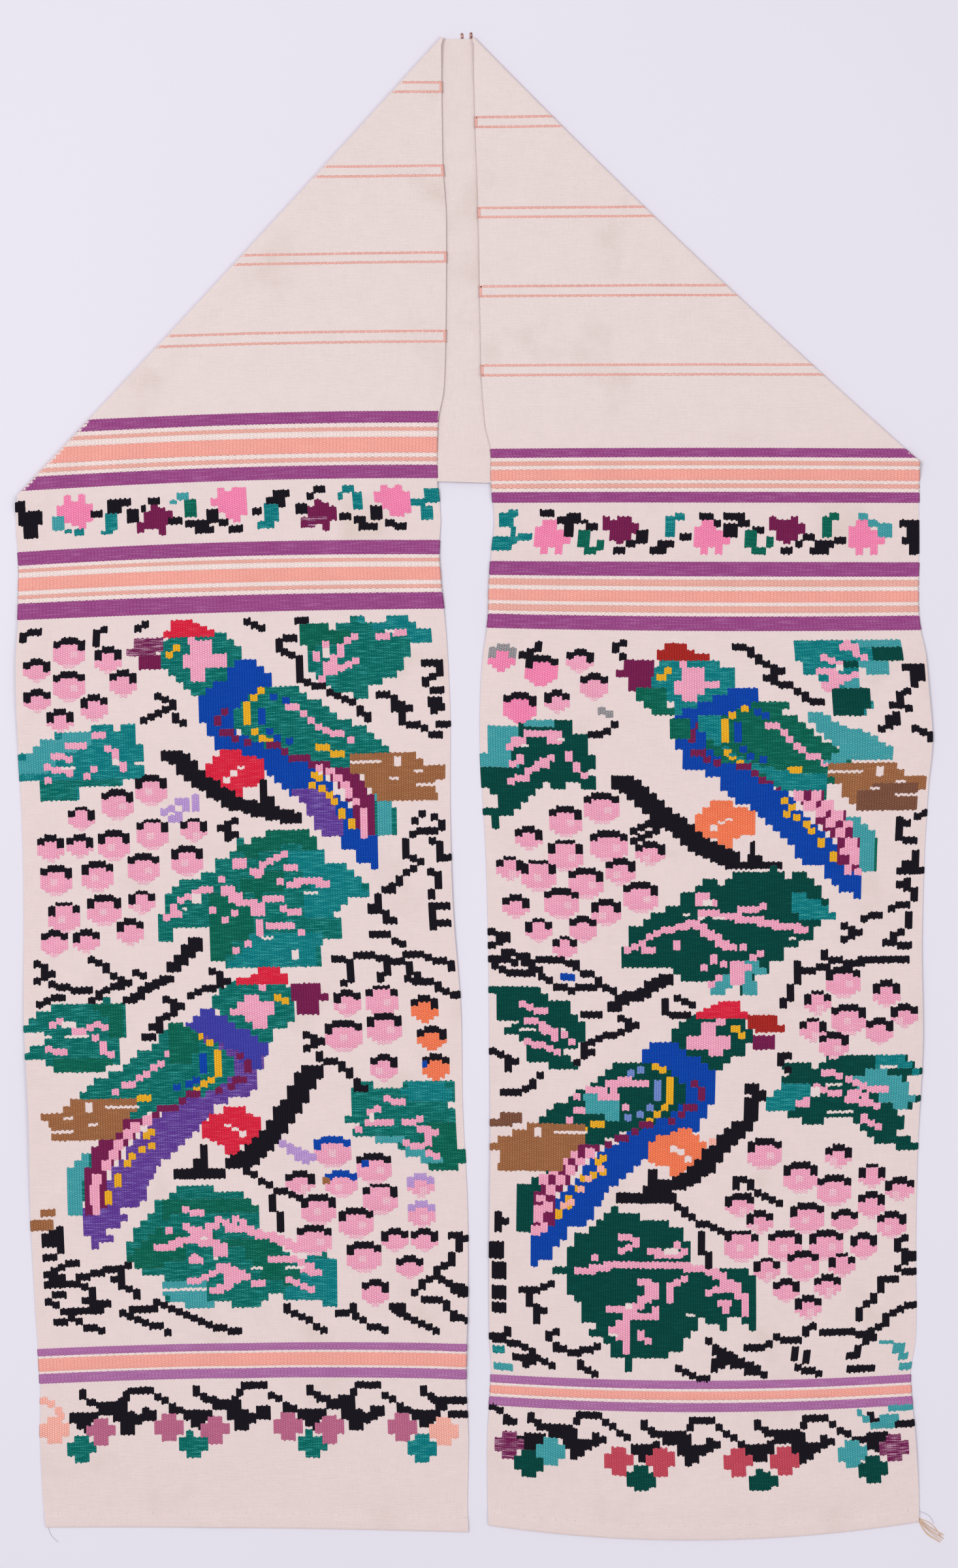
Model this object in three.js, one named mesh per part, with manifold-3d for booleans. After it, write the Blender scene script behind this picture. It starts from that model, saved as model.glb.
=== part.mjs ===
// A long handwoven towel, laid out face up and folded like a neck scarf. One strip of cloth runs up
// the left leg, turns under along a slanting fold, crosses behind both legs as a single layer, and
// comes forward again along the right fold to run down the right leg. Millimetres, +Z up, lying on
// the plane z = 0, with +Y towards the peak of the folds.
import * as THREE from 'three';
import Module from 'manifold-3d';
import { mergeVertices } from 'three/addons/utils/BufferGeometryUtils.js';

// Cloth
const CLOTH_THICKNESS = 1.5;
const HEM_THICKNESS = 2.4;
const HEM_DEPTH = 13;
const HEM_STEP = 2;
const LAYER_GAP = 0.8;

// Folds: the cloth turns round a soft roll, and the upper layer settles again within a few centimetres
const FOLD_INNER_RADIUS = 1.5;
const FOLD_OUTER_RADIUS = FOLD_INNER_RADIUS + CLOTH_THICKNESS;
const FOLD_SETTLE = 20;
const LEG_REST_HEIGHT = CLOTH_THICKNESS + LAYER_GAP;
const FOLD_REST_HEIGHT = FOLD_OUTER_RADIUS + FOLD_INNER_RADIUS;

// Where a leg leaves the under layer it comes down to the surface over this distance
const RAMP_START = 3;
const RAMP_END = 30;

// Mesh steps
const COLUMNS = 14;
const LEG_ROWS = 24;
const RAMP_ROWS = 4;
const FAN_ROWS = 11;
const FOLD_ARC_STEPS = 6;
const UNDER_ROWS = 22;

// Each leg by height: x of its two selvedges, how far the outer end of its weft line lies above the
// inner end, and how far the middle of the weft line lies above its ends
const LEFT_LEG = [
  { y: -769, outer: -452, inner: -12, tilt: 5, bow: 2 },
  { y: -742, outer: -455, inner: -13, tilt: 3, bow: 3 },
  { y: -674, outer: -458, inner: -12, tilt: -2, bow: 3 },
  { y: -613, outer: -458, inner: -15, tilt: -5, bow: 4 },
  { y: -538, outer: -463, inner: -13, tilt: -6, bow: 3 },
  { y: -436, outer: -468, inner: -13, tilt: -6, bow: 2 },
  { y: -334, outer: -470, inner: -18, tilt: -6, bow: 1 },
  { y: -232, outer: -475, inner: -20, tilt: -7, bow: 0 },
  { y: -130, outer: -475, inner: -28, tilt: -8, bow: 0 },
  { y: -28, outer: -477, inner: -31, tilt: -9, bow: 0 },
  { y: 74, outer: -482, inner: -31, tilt: -10, bow: 0 },
  { y: 142, outer: -483, inner: -34, tilt: -11, bow: 0 },
  { y: 176, outer: -481, inner: -37, tilt: -12, bow: 0 },
  { y: 210, outer: -480, inner: -41, tilt: -12, bow: 0 },
  { y: 244, outer: -480, inner: -43, tilt: -12, bow: 0 },
  { y: 278, outer: -483, inner: -41, tilt: -14, bow: 1 },
  { y: 326, outer: -483, inner: -45, tilt: -14, bow: 2 },
];
const RIGHT_LEG = [
  { y: -772, outer: 457, inner: 9, tilt: 3.6, bow: -17 },
  { y: -742, outer: 457, inner: 8, tilt: 2, bow: -14 },
  { y: -674, outer: 453, inner: 8, tilt: 1, bow: -9 },
  { y: -613, outer: 448, inner: 12, tilt: 0, bow: -7 },
  { y: -572, outer: 454, inner: 10, tilt: 0, bow: -6 },
  { y: -470, outer: 454, inner: 10, tilt: 0, bow: -4 },
  { y: -368, outer: 456, inner: 11, tilt: 0, bow: -3 },
  { y: -266, outer: 461, inner: 10, tilt: 0, bow: -2 },
  { y: -164, outer: 460, inner: 9, tilt: 0, bow: -2 },
  { y: -62, outer: 463, inner: 6, tilt: -1, bow: -2 },
  { y: 6, outer: 467, inner: 2, tilt: -2, bow: -2 },
  { y: 54, outer: 471, inner: 0, tilt: -3, bow: -2 },
  { y: 108, outer: 467, inner: 1, tilt: -3, bow: -2 },
  { y: 142, outer: 464, inner: 4, tilt: -3, bow: -2 },
  { y: 176, outer: 457, inner: 9, tilt: -2, bow: -2 },
  { y: 210, outer: 456, inner: 10, tilt: -2, bow: -1 },
  { y: 244, outer: 457, inner: 12, tilt: -1, bow: 0 },
  { y: 278, outer: 457, inner: 15, tilt: 0, bow: 0 },
  { y: 326, outer: 457, inner: 12, tilt: 0, bow: 1 },
];

// The inner selvedges where the legs lie on the under layer
const LEFT_INNER_SELVEDGE = [
  { y: 326, x: -45 },
  { y: 383, x: -44 },
  { y: 415, x: -38 },
  { y: 466, x: -36 },
  { y: 600, x: -35.5 },
  { y: 650, x: -39 },
  { y: 783, x: -40.5 },
];
const RIGHT_INNER_SELVEDGE = [
  { y: 326, x: 12 },
  { y: 352, x: 12 },
  { y: 377, x: 6 },
  { y: 428, x: 2 },
  { y: 492, x: 0.5 },
  { y: 600, x: -1.5 },
  { y: 727, x: -5.5 },
  { y: 783, x: -6 },
];

// The lower edge of the under layer, and the height that it lifts off the surface between the legs
const UNDER_EDGE = [
  { x: -484, y: 306 },
  { x: -43, y: 321 },
  { x: 9, y: 319.5 },
  { x: 458, y: 345 },
];
const UNDER_LIFT = { x: -17, halfWidth: 34, depth: 40, height: 3.5 };

// Both slanting folds: their outermost line, and how far its middle bows out of the straight
const LEFT_FOLD = { outer: { x: -483, y: 306 }, inner: { x: -40.5, y: 784 }, bow: -2, legSide: -1 };
const RIGHT_FOLD = { outer: { x: 457.5, y: 343 }, inner: { x: -6, y: 784 }, bow: -6, legSide: 1 };

// Soft ridges that the cloth lies in: the middle and run of each, its half length and half width,
// and its height above the surface
const RIDGES = [
  { x: -252, y: -640, run: 80, long: 120, wide: 26, height: 2.2 },
  { x: -24, y: -560, run: 92, long: 90, wide: 20, height: 3.0 },
  { x: -470, y: -330, run: 92, long: 110, wide: 22, height: 3.2 },
  { x: -40, y: -120, run: 96, long: 110, wide: 22, height: 2.6 },
  { x: -330, y: 60, run: 20, long: 90, wide: 30, height: 1.6 },
  { x: -478, y: 130, run: 88, long: 80, wide: 20, height: 3.4 },
  { x: -50, y: 215, run: 90, long: 60, wide: 18, height: 2.4 },
  { x: -235, y: 520, run: 84, long: 100, wide: 34, height: 2.4 },
  { x: 230, y: -745, run: 4, long: 130, wide: 24, height: 4.0 },
  { x: 445, y: -675, run: 96, long: 50, wide: 20, height: 2.6 },
  { x: 20, y: -430, run: 90, long: 110, wide: 20, height: 2.6 },
  { x: 448, y: -250, run: 88, long: 120, wide: 22, height: 2.8 },
  { x: 260, y: -80, run: 160, long: 110, wide: 34, height: 1.8 },
  { x: 458, y: 90, run: 92, long: 80, wide: 22, height: 3.6 },
  { x: 22, y: 190, run: 90, long: 80, wide: 18, height: 2.6 },
  { x: 200, y: 500, run: 130, long: 110, wide: 36, height: 2.2 },
];

// Loose warp ends at the outer corner of the right leg: each strand's points and thickness
const TAIL_ROOT = { x: 459.4, y: -760.4, length: 4, width: 4, height: 1.6 };
const TAIL_STRANDS = [
  { thick: 1.3, midX: 467.5, midY: -769.5, endX: 482.9, endY: -779.8 },
  { thick: 1.3, midX: 464.5, midY: -772.5, endX: 479.4, endY: -783.3 },
  { thick: 1.2, midX: 471.0, midY: -769.0, endX: 483.0, endY: -775.5 },
  { thick: 0.8, midX: 470.5, midY: -757.5, endX: 473.5, endY: -763.5 },
];
const STRAND_STEPS = 8;

// One value at a height or place, read between the rows of a table with a smooth curve
function between(table, key, at, column) {
  const last = table.length - 1;
  let i = 0;
  while (i < last - 1 && at > table[i + 1][key]) i += 1;
  const t = THREE.MathUtils.clamp((at - table[i][key]) / (table[i + 1][key] - table[i][key]), 0, 1);
  const before = table[Math.max(i - 1, 0)][column];
  const after = table[Math.min(i + 2, last)][column];
  const from = table[i][column];
  const to = table[i + 1][column];
  const slopeFrom = (to - before) / 2;
  const slopeTo = (after - from) / 2;
  const bend = 2 * from - 2 * to + slopeFrom + slopeTo;
  const rise = -3 * from + 3 * to - 2 * slopeFrom - slopeTo;
  return ((bend * t + rise) * t + slopeFrom) * t + from;
}

function underEdge(x) {
  const last = UNDER_EDGE.length - 1;
  let i = 0;
  while (i < last - 1 && x > UNDER_EDGE[i + 1].x) i += 1;
  const t = (x - UNDER_EDGE[i].x) / (UNDER_EDGE[i + 1].x - UNDER_EDGE[i].x);
  return THREE.MathUtils.lerp(UNDER_EDGE[i].y, UNDER_EDGE[i + 1].y, t);
}

function ridgeHeight(x, y) {
  let height = 0;
  for (const ridge of RIDGES) {
    const angle = THREE.MathUtils.degToRad(ridge.run);
    const dx = x - ridge.x;
    const dy = y - ridge.y;
    const along = (dx * Math.cos(angle) + dy * Math.sin(angle)) / ridge.long;
    const across = (-dx * Math.sin(angle) + dy * Math.cos(angle)) / ridge.wide;
    height += ridge.height * Math.exp(-along * along - across * across);
  }
  return height;
}

// A point of a fold's outermost line, share 0 at the outer selvedge and 1 at the inner one, moved
// inwards by a distance
function foldPoint(fold, share, inwards) {
  const dx = fold.inner.x - fold.outer.x;
  const dy = fold.inner.y - fold.outer.y;
  const length = Math.hypot(dx, dy);
  const side = fold.legSide;
  const inX = (-side * dy) / length;
  const inY = (side * dx) / length;
  const shift = inwards - fold.bow * 4 * share * (1 - share);
  return { x: fold.outer.x + dx * share + inX * shift, y: fold.outer.y + dy * share + inY * shift };
}

function distanceToFold(fold, x, y) {
  const dx = fold.inner.x - fold.outer.x;
  const dy = fold.inner.y - fold.outer.y;
  const length = Math.hypot(dx, dy);
  const share = THREE.MathUtils.clamp(((x - fold.outer.x) * dx + (y - fold.outer.y) * dy) / length ** 2, 0, 1);
  const near = foldPoint(fold, share, 0);
  return Math.hypot(x - near.x, y - near.y);
}

// How high the underside of a leg lies at a place
function legHeight(fold, x, y) {
  const past = underEdge(x) - y;
  const onLayer = 1 - THREE.MathUtils.smoothstep(past, RAMP_START, RAMP_END);
  const near = Math.max(distanceToFold(fold, x, y) - FOLD_OUTER_RADIUS, 0) / FOLD_SETTLE;
  const foldShare = Math.exp(-near * near);
  const layered = LEG_REST_HEIGHT + (FOLD_REST_HEIGHT - LEG_REST_HEIGHT) * foldShare;
  return layered * onLayer + ridgeHeight(x, y) * (1 - foldShare);
}

// A row is a list of pairs, the under and upper point of the cloth at each column
function legRow(leg, fold, y, thickness) {
  const outer = between(leg, 'y', y, 'outer');
  const inner = between(leg, 'y', y, 'inner');
  const tilt = between(leg, 'y', y, 'tilt');
  const bow = between(leg, 'y', y, 'bow');
  const row = [];
  for (let i = 0; i <= COLUMNS; i += 1) {
    const u = i / COLUMNS;
    const px = THREE.MathUtils.lerp(outer, inner, u);
    const py = y + tilt * (0.5 - u) + bow * (4 * u * (1 - u) - 0.5);
    const low = legHeight(fold, px, py);
    row.push({ under: [px, py, low], upper: [px, py, low + thickness] });
  }
  return row;
}

// Rows that swing from the last weft line on the under layer to the fold, round its outer end
function fanRow(leg, selvedge, fold, share, startY) {
  const tilt = between(leg, 'y', startY, 'tilt');
  const bow = between(leg, 'y', startY, 'bow');
  const first = { x: between(leg, 'y', startY, 'outer'), y: startY + tilt / 2 - bow / 2 };
  const foldOuter = foldPoint(fold, 0, FOLD_OUTER_RADIUS);
  const foldInner = foldPoint(fold, 1, FOLD_OUTER_RADIUS);
  const innerStart = startY - tilt / 2 - bow / 2;
  const innerY = THREE.MathUtils.lerp(innerStart, foldInner.y, share);
  const outer = { x: THREE.MathUtils.lerp(first.x, foldOuter.x, share), y: THREE.MathUtils.lerp(first.y, foldOuter.y, share) };
  const wobble = between(selvedge, 'y', innerY, 'x');
  const inner = { x: share === 1 ? foldInner.x : wobble, y: innerY };
  const row = [];
  for (let i = 0; i <= COLUMNS; i += 1) {
    const u = i / COLUMNS;
    const straight = foldPoint({ ...fold, bow: 0 }, u, FOLD_OUTER_RADIUS);
    const bowed = foldPoint(fold, u, FOLD_OUTER_RADIUS);
    const px = THREE.MathUtils.lerp(outer.x, inner.x, u) + (bowed.x - straight.x) * share;
    const py = THREE.MathUtils.lerp(outer.y, inner.y, u) + (bowed.y - straight.y) * share
      + bow * 4 * u * (1 - u) * (1 - share);
    const low = share === 1 ? FOLD_REST_HEIGHT : legHeight(fold, px, py);
    row.push({ under: [px, py, low], upper: [px, py, low + CLOTH_THICKNESS] });
  }
  return row;
}

// A row of the roll at a turn from 0, the leg's side, to pi, the under layer's side
function foldRow(fold, turn) {
  const row = [];
  for (let i = 0; i <= COLUMNS; i += 1) {
    const skins = [FOLD_INNER_RADIUS, FOLD_OUTER_RADIUS].map((radius) => {
      const place = foldPoint(fold, i / COLUMNS, FOLD_OUTER_RADIUS - radius * Math.sin(turn));
      return [place.x, place.y, FOLD_OUTER_RADIUS + radius * Math.cos(turn)];
    });
    row.push({ under: skins[0], upper: skins[1] });
  }
  return row;
}

// The under layer lies face down, so its inner skin is the one that looks up. Its lower edge lifts a
// little where it shows between the legs
function underRow(share) {
  const fromLeft = (u) => foldPoint(LEFT_FOLD, u, FOLD_OUTER_RADIUS);
  const fromRight = (u) => foldPoint(RIGHT_FOLD, u, FOLD_OUTER_RADIUS);
  const row = [];
  for (let i = 0; i <= COLUMNS; i += 1) {
    const u = i / COLUMNS;
    const x = THREE.MathUtils.lerp(fromLeft(u).x, fromRight(u).x, share);
    const flatY = THREE.MathUtils.lerp(fromLeft(u).y, fromRight(u).y, share);
    const lowest = THREE.MathUtils.lerp(fromLeft(0).y, fromRight(0).y, share);
    const drop = (underEdge(x) - lowest) * Math.sin(Math.PI * share) ** 0.5;
    const y = flatY + drop * (1 - u) ** 2;
    const aside = (x - UNDER_LIFT.x) / UNDER_LIFT.halfWidth;
    const up = (y - underEdge(x)) / UNDER_LIFT.depth;
    const low = UNDER_LIFT.height * Math.exp(-aside * aside - up * up);
    row.push({ under: [x, y, low + CLOTH_THICKNESS], upper: [x, y, low] });
  }
  return row;
}

function legRows(leg, fold) {
  const hemY = leg[0].y;
  const rampY = underEdge(leg[leg.length - 1].inner) - RAMP_END - 4;
  const rows = [
    legRow(leg, fold, hemY, HEM_THICKNESS),
    legRow(leg, fold, hemY + HEM_DEPTH, HEM_THICKNESS),
    legRow(leg, fold, hemY + HEM_DEPTH + HEM_STEP, CLOTH_THICKNESS),
  ];
  const plainY = hemY + HEM_DEPTH + HEM_STEP;
  for (let i = 1; i <= LEG_ROWS; i += 1) {
    rows.push(legRow(leg, fold, THREE.MathUtils.lerp(plainY, rampY, i / LEG_ROWS), CLOTH_THICKNESS));
  }
  return rows;
}

function rampRows(leg, fold) {
  const top = fanStart(leg);
  const bottom = underEdge(leg[leg.length - 1].inner) - RAMP_END - 4;
  const rows = [];
  for (let i = 1; i <= RAMP_ROWS; i += 1) {
    rows.push(legRow(leg, fold, THREE.MathUtils.lerp(bottom, top, i / RAMP_ROWS), CLOTH_THICKNESS));
  }
  return rows;
}

function fanStart(leg) {
  return Math.min(underEdge(leg[0].outer), underEdge(leg[leg.length - 1].inner)) - RAMP_START;
}

function topRows(leg, selvedge, fold) {
  const rows = [...legRows(leg, fold), ...rampRows(leg, fold)];
  for (let i = 1; i <= FAN_ROWS; i += 1) {
    rows.push(fanRow(leg, selvedge, fold, i / FAN_ROWS, fanStart(leg)));
  }
  return rows;
}

function towelRows() {
  const rows = topRows(LEFT_LEG, LEFT_INNER_SELVEDGE, LEFT_FOLD);
  for (let i = 1; i <= FOLD_ARC_STEPS; i += 1) rows.push(foldRow(LEFT_FOLD, (Math.PI * i) / FOLD_ARC_STEPS));
  for (let i = 1; i < UNDER_ROWS; i += 1) rows.push(underRow(i / UNDER_ROWS));
  for (let i = FOLD_ARC_STEPS; i >= 1; i -= 1) rows.push(foldRow(RIGHT_FOLD, (Math.PI * i) / FOLD_ARC_STEPS));
  rows.push(...topRows(RIGHT_LEG, RIGHT_INNER_SELVEDGE, RIGHT_FOLD).reverse());
  return rows;
}

// One closed skin round the whole strip: under side, upper side, both selvedges and both hems
function skinOf(rows) {
  const positions = [];
  const index = [];
  const wide = COLUMNS + 1;
  const at = (row, column, upper) => 2 * (row * wide + column) + (upper ? 1 : 0);
  const quad = (a, b, c, d) => index.push(a, b, c, a, c, d);
  rows.forEach((row) => row.forEach((pair) => positions.push(...pair.under, ...pair.upper)));
  for (let r = 0; r < rows.length - 1; r += 1) {
    for (let c = 0; c < COLUMNS; c += 1) {
      quad(at(r, c, true), at(r, c + 1, true), at(r + 1, c + 1, true), at(r + 1, c, true));
      quad(at(r, c, false), at(r + 1, c, false), at(r + 1, c + 1, false), at(r, c + 1, false));
    }
    quad(at(r, 0, false), at(r, 0, true), at(r + 1, 0, true), at(r + 1, 0, false));
    quad(at(r, COLUMNS, false), at(r + 1, COLUMNS, false), at(r + 1, COLUMNS, true), at(r, COLUMNS, true));
  }
  const last = rows.length - 1;
  for (let c = 0; c < COLUMNS; c += 1) {
    quad(at(0, c, false), at(0, c + 1, false), at(0, c + 1, true), at(0, c, true));
    quad(at(last, c, false), at(last, c, true), at(last, c + 1, true), at(last, c + 1, false));
  }
  const geometry = new THREE.BufferGeometry();
  geometry.setAttribute('position', new THREE.Float32BufferAttribute(positions, 3));
  geometry.setIndex(index);
  return geometry;
}

// The corner tail: four-sided strands that run out of one small flat root
function strandGeometry(strand) {
  const half = strand.thick / 2;
  const path = new THREE.QuadraticBezierCurve3(
    new THREE.Vector3(TAIL_ROOT.x, TAIL_ROOT.y, half),
    new THREE.Vector3(strand.midX, strand.midY, half),
    new THREE.Vector3(strand.endX, strand.endY, half),
  );
  const section = new THREE.Shape([
    new THREE.Vector2(-half, -half),
    new THREE.Vector2(half, -half),
    new THREE.Vector2(half, half),
    new THREE.Vector2(-half, half),
  ]);
  return new THREE.ExtrudeGeometry(section, { steps: STRAND_STEPS, extrudePath: path, bevelEnabled: false });
}

const wasm = await Module();
wasm.setup();

function solidOf(geometry) {
  const bare = geometry.clone();
  bare.deleteAttribute('normal');
  bare.deleteAttribute('uv');
  const merged = mergeVertices(bare, 1e-4);
  const vertProperties = new Float32Array(merged.attributes.position.array);
  const triVerts = new Uint32Array(merged.index.array);
  return new wasm.Manifold(new wasm.Mesh({ numProp: 3, vertProperties, triVerts }));
}

function geometryOf(solid) {
  const mesh = solid.getMesh();
  const geometry = new THREE.BufferGeometry();
  geometry.setAttribute('position', new THREE.Float32BufferAttribute(mesh.vertProperties, 3));
  geometry.setIndex(Array.from(mesh.triVerts));
  return geometry;
}

function tailGeometry() {
  const root = new THREE.BoxGeometry(TAIL_ROOT.length, TAIL_ROOT.width, TAIL_ROOT.height);
  root.translate(TAIL_ROOT.x, TAIL_ROOT.y, TAIL_ROOT.height / 2);
  let tail = solidOf(root);
  for (const strand of TAIL_STRANDS) tail = tail.add(solidOf(strandGeometry(strand)));
  return geometryOf(tail);
}

const clothMaterial = new THREE.MeshStandardMaterial({ color: 0xe9dcd4, roughness: 0.9, metalness: 0, side: THREE.DoubleSide });
const yarnMaterial = new THREE.MeshStandardMaterial({ color: 0xd9b79a, roughness: 0.85, metalness: 0 });

const towelSkin = skinOf(towelRows());
towelSkin.computeVertexNormals();
const towel = new THREE.Mesh(towelSkin, clothMaterial);
towel.name = 'towel';

const tail = new THREE.Mesh(tailGeometry(), yarnMaterial);
tail.name = 'corner_tail';

// The whole part stands centred on its origin
const part = new THREE.Group();
part.add(towel, tail);
const box = new THREE.Box3().setFromObject(part);
const centre = box.getCenter(new THREE.Vector3());
part.position.set(-centre.x, -centre.y, -box.min.z);

export default part;
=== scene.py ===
# %% [markdown]
# # A long handwoven towel, folded like a neck scarf
# One strip of cloth, 0.45 m wide and over 3 m long, runs up the left leg, turns under along a
# slanting fold, crosses behind both legs and comes forward again to run down the right leg. Birds,
# vine leaves, grapes and roses are woven in with thick coloured weft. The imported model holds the
# folded shape, and this lesson lays a finer cloth and its coloured yarns on that shape.
#
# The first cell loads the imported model. Everything after it is in that model's own frame, in metres.

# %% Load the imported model
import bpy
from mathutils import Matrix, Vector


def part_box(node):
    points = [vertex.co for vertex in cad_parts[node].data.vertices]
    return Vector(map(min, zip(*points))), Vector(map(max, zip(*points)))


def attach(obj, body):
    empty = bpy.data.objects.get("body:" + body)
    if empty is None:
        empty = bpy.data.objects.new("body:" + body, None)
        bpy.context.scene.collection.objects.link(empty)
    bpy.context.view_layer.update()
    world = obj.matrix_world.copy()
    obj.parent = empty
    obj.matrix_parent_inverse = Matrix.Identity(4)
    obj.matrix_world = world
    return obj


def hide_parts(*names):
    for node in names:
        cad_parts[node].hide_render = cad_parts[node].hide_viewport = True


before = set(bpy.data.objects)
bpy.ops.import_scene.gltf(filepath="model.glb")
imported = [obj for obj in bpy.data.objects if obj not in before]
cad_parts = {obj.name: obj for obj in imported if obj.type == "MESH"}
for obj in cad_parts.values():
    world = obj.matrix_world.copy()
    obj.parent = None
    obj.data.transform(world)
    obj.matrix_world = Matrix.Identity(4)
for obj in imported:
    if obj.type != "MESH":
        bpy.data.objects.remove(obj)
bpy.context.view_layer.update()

# %% Tools and units
import math
from collections import namedtuple

import bpy
import numpy as np
from mathutils import Vector

MM = 0.001
bpy.ops.object.select_all(action="DESELECT")
bpy.context.view_layer.objects.active = None
chance = np.random.default_rng(11)

# %% [markdown]
# ## The lie of the cloth
# The towel is only a few millimetres high, so its shape is a matter of where each weft line runs.
# A cloth simulation would crumple where it liked. Here each leg is a short table of weft lines
# instead: where the line meets both selvedges, how much it tilts, and how much its middle bows.
# All sizes in these tables are millimetres. `through` reads a table at any height, on a smooth line
# through its rows.

# %% Weft lines of both legs
Weft = namedtuple("Weft", "y outer inner tilt bow")
LEFT_WEFT = [
    Weft(-769, -452, -12, 5, 2), Weft(-742, -455, -13, 3, 3), Weft(-674, -458, -12, -2, 3),
    Weft(-613, -458, -15, -5, 4), Weft(-538, -463, -13, -6, 3), Weft(-436, -468, -13, -6, 2),
    Weft(-334, -470, -18, -6, 1), Weft(-232, -475, -20, -7, 0), Weft(-130, -475, -28, -8, 0),
    Weft(-28, -477, -31, -9, 0), Weft(74, -482, -31, -10, 0), Weft(142, -483, -34, -11, 1),
    Weft(176, -481, -37, -12, 2), Weft(210, -480, -41, -12, 3), Weft(244, -480, -43, -12, 4),
    Weft(278, -483, -41, -14, 4), Weft(326, -483, -45, -14, 4), Weft(383, -483, -44, -14, 4),
    Weft(415, -483, -38, -14, 4), Weft(466, -483, -36, -13, 3), Weft(600, -483, -35.5, -12, 2),
    Weft(650, -483, -39, -12, 2), Weft(783, -483, -40.5, -12, 2),
]
RIGHT_WEFT = [
    Weft(-772, 457, 9, 3.6, -17), Weft(-742, 457, 8, 2, -14), Weft(-674, 453, 8, 1, -9),
    Weft(-613, 448, 12, 0, -7), Weft(-572, 454, 10, 0, -6), Weft(-470, 454, 10, 0, -4),
    Weft(-368, 456, 11, 0, -3), Weft(-266, 461, 10, 0, -2), Weft(-164, 460, 9, 0, -2),
    Weft(-62, 463, 6, -1, -2), Weft(6, 467, 2, -2, -2), Weft(54, 471, 0, -3, -2),
    Weft(108, 467, 1, -3, -2), Weft(142, 464, 4, -3, -2), Weft(176, 457, 9, -2, -2),
    Weft(210, 456, 10, -2, -1), Weft(244, 457, 12, -1, 0), Weft(278, 457, 15, 0, 0),
    Weft(326, 457, 12, 0, 1), Weft(352, 457, 12, 0, 1), Weft(377, 457, 6, 0, 1),
    Weft(428, 457, 2, 0, 1), Weft(492, 457, 0.5, 0, 1), Weft(600, 457, -1.5, 0, 1),
    Weft(727, 457, -5.5, 0, 1), Weft(783, 457, -6, 0, 1),
]


def through(table, at):
    """Every column of a table but the first, read at any height."""
    rows = np.asarray(table, float)
    last = len(rows) - 1
    i = np.clip(np.searchsorted(rows[:, 0], at) - 1, 0, last - 1)
    gap = rows[i + 1, 0] - rows[i, 0]
    t = np.clip((at - rows[i, 0]) / gap, 0, 1)[..., None]
    before, start, end, after = (rows[np.clip(i + k, 0, last), 1:] for k in (-1, 0, 1, 2))
    slope_start = (end - before) / 2
    slope_end = (after - start) / 2
    bend = 2 * start - 2 * end + slope_start + slope_end
    rise = 3 * end - 3 * start - 2 * slope_start - slope_end
    columns = ((bend * t + rise) * t + slope_start) * t + start
    return np.moveaxis(columns, -1, 0)


print("weft lines in the tables:", len(LEFT_WEFT), "left,", len(RIGHT_WEFT), "right")

# %% [markdown]
# ## Folds and soft ridges
# Each slanting fold is a soft roll round a straight line whose middle bows a little. `Fold` turns a
# flat place into a share along that line and a distance inwards from it, and back again. The cloth
# also lies in a few low ridges where it was ironed or handled, each one a smooth bump with its own
# place, run and size. Round the roll the cloth's middle runs on a radius of 2.25 mm.

# %% Folds, the under layer's edge and the ridges
ROLL_CENTRE = 3.0
ROLL_RADIUS = 2.25
ROLL_ARC = math.pi * ROLL_RADIUS
HALF_SPACE = 0.75
FOLD_SETTLE = 20
LEG_REST = 2.3
FOLD_REST = 4.5
RAMP_START, RAMP_END = 3, 30
UNDER_EDGE = np.array([(-484, 306), (-43, 321), (9, 319.5), (458, 345)], float)
UNDER_LIFT = {"x": -17, "half_width": 34, "depth": 40, "height": 3.5}
Ridge = namedtuple("Ridge", "x y run long wide height")
RIDGES = [
    Ridge(-252, -640, 80, 120, 26, 2.2), Ridge(-24, -560, 92, 90, 20, 3.0),
    Ridge(-470, -330, 92, 110, 22, 3.2), Ridge(-40, -120, 96, 110, 22, 2.6),
    Ridge(-330, 60, 20, 90, 30, 1.6), Ridge(-478, 130, 88, 80, 20, 3.4),
    Ridge(-50, 215, 90, 60, 18, 2.4), Ridge(-235, 520, 84, 100, 34, 2.4),
    Ridge(230, -745, 4, 130, 24, 4.0), Ridge(445, -675, 96, 50, 20, 2.6),
    Ridge(20, -430, 90, 110, 20, 2.6), Ridge(448, -250, 88, 120, 22, 2.8),
    Ridge(260, -80, 160, 110, 34, 1.8), Ridge(458, 90, 92, 80, 22, 3.6),
    Ridge(22, 190, 90, 80, 18, 2.6), Ridge(200, 500, 130, 110, 36, 2.2),
]


class Fold:
    """A slanting fold: its outermost line from the outer to the inner selvedge, and its bow."""

    def __init__(self, outer, inner, bow, side):
        self.start = np.array(outer, float)
        run = np.array(inner, float) - self.start
        self.length = np.hypot(*run)
        self.along = run / self.length
        self.inwards = side * np.array([-self.along[1], self.along[0]])
        self.bow = bow

    def point(self, share, inwards):
        shift = inwards - self.bow * 4 * share * (1 - share)
        return self.start + self.along * (share * self.length)[..., None] + self.inwards * shift[..., None]

    def read(self, xy):
        offset = xy - self.start
        share = offset @ self.along / self.length
        return share, offset @ self.inwards + self.bow * 4 * share * (1 - share)


PEAK = 784.0
LEFT_FOLD = Fold((-483, 306), (-40.5, PEAK), -2, -1)
RIGHT_FOLD = Fold((457.5, 343), (-6, PEAK), -6, 1)


def under_edge(x):
    return np.interp(x, UNDER_EDGE[:, 0], UNDER_EDGE[:, 1])


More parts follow.
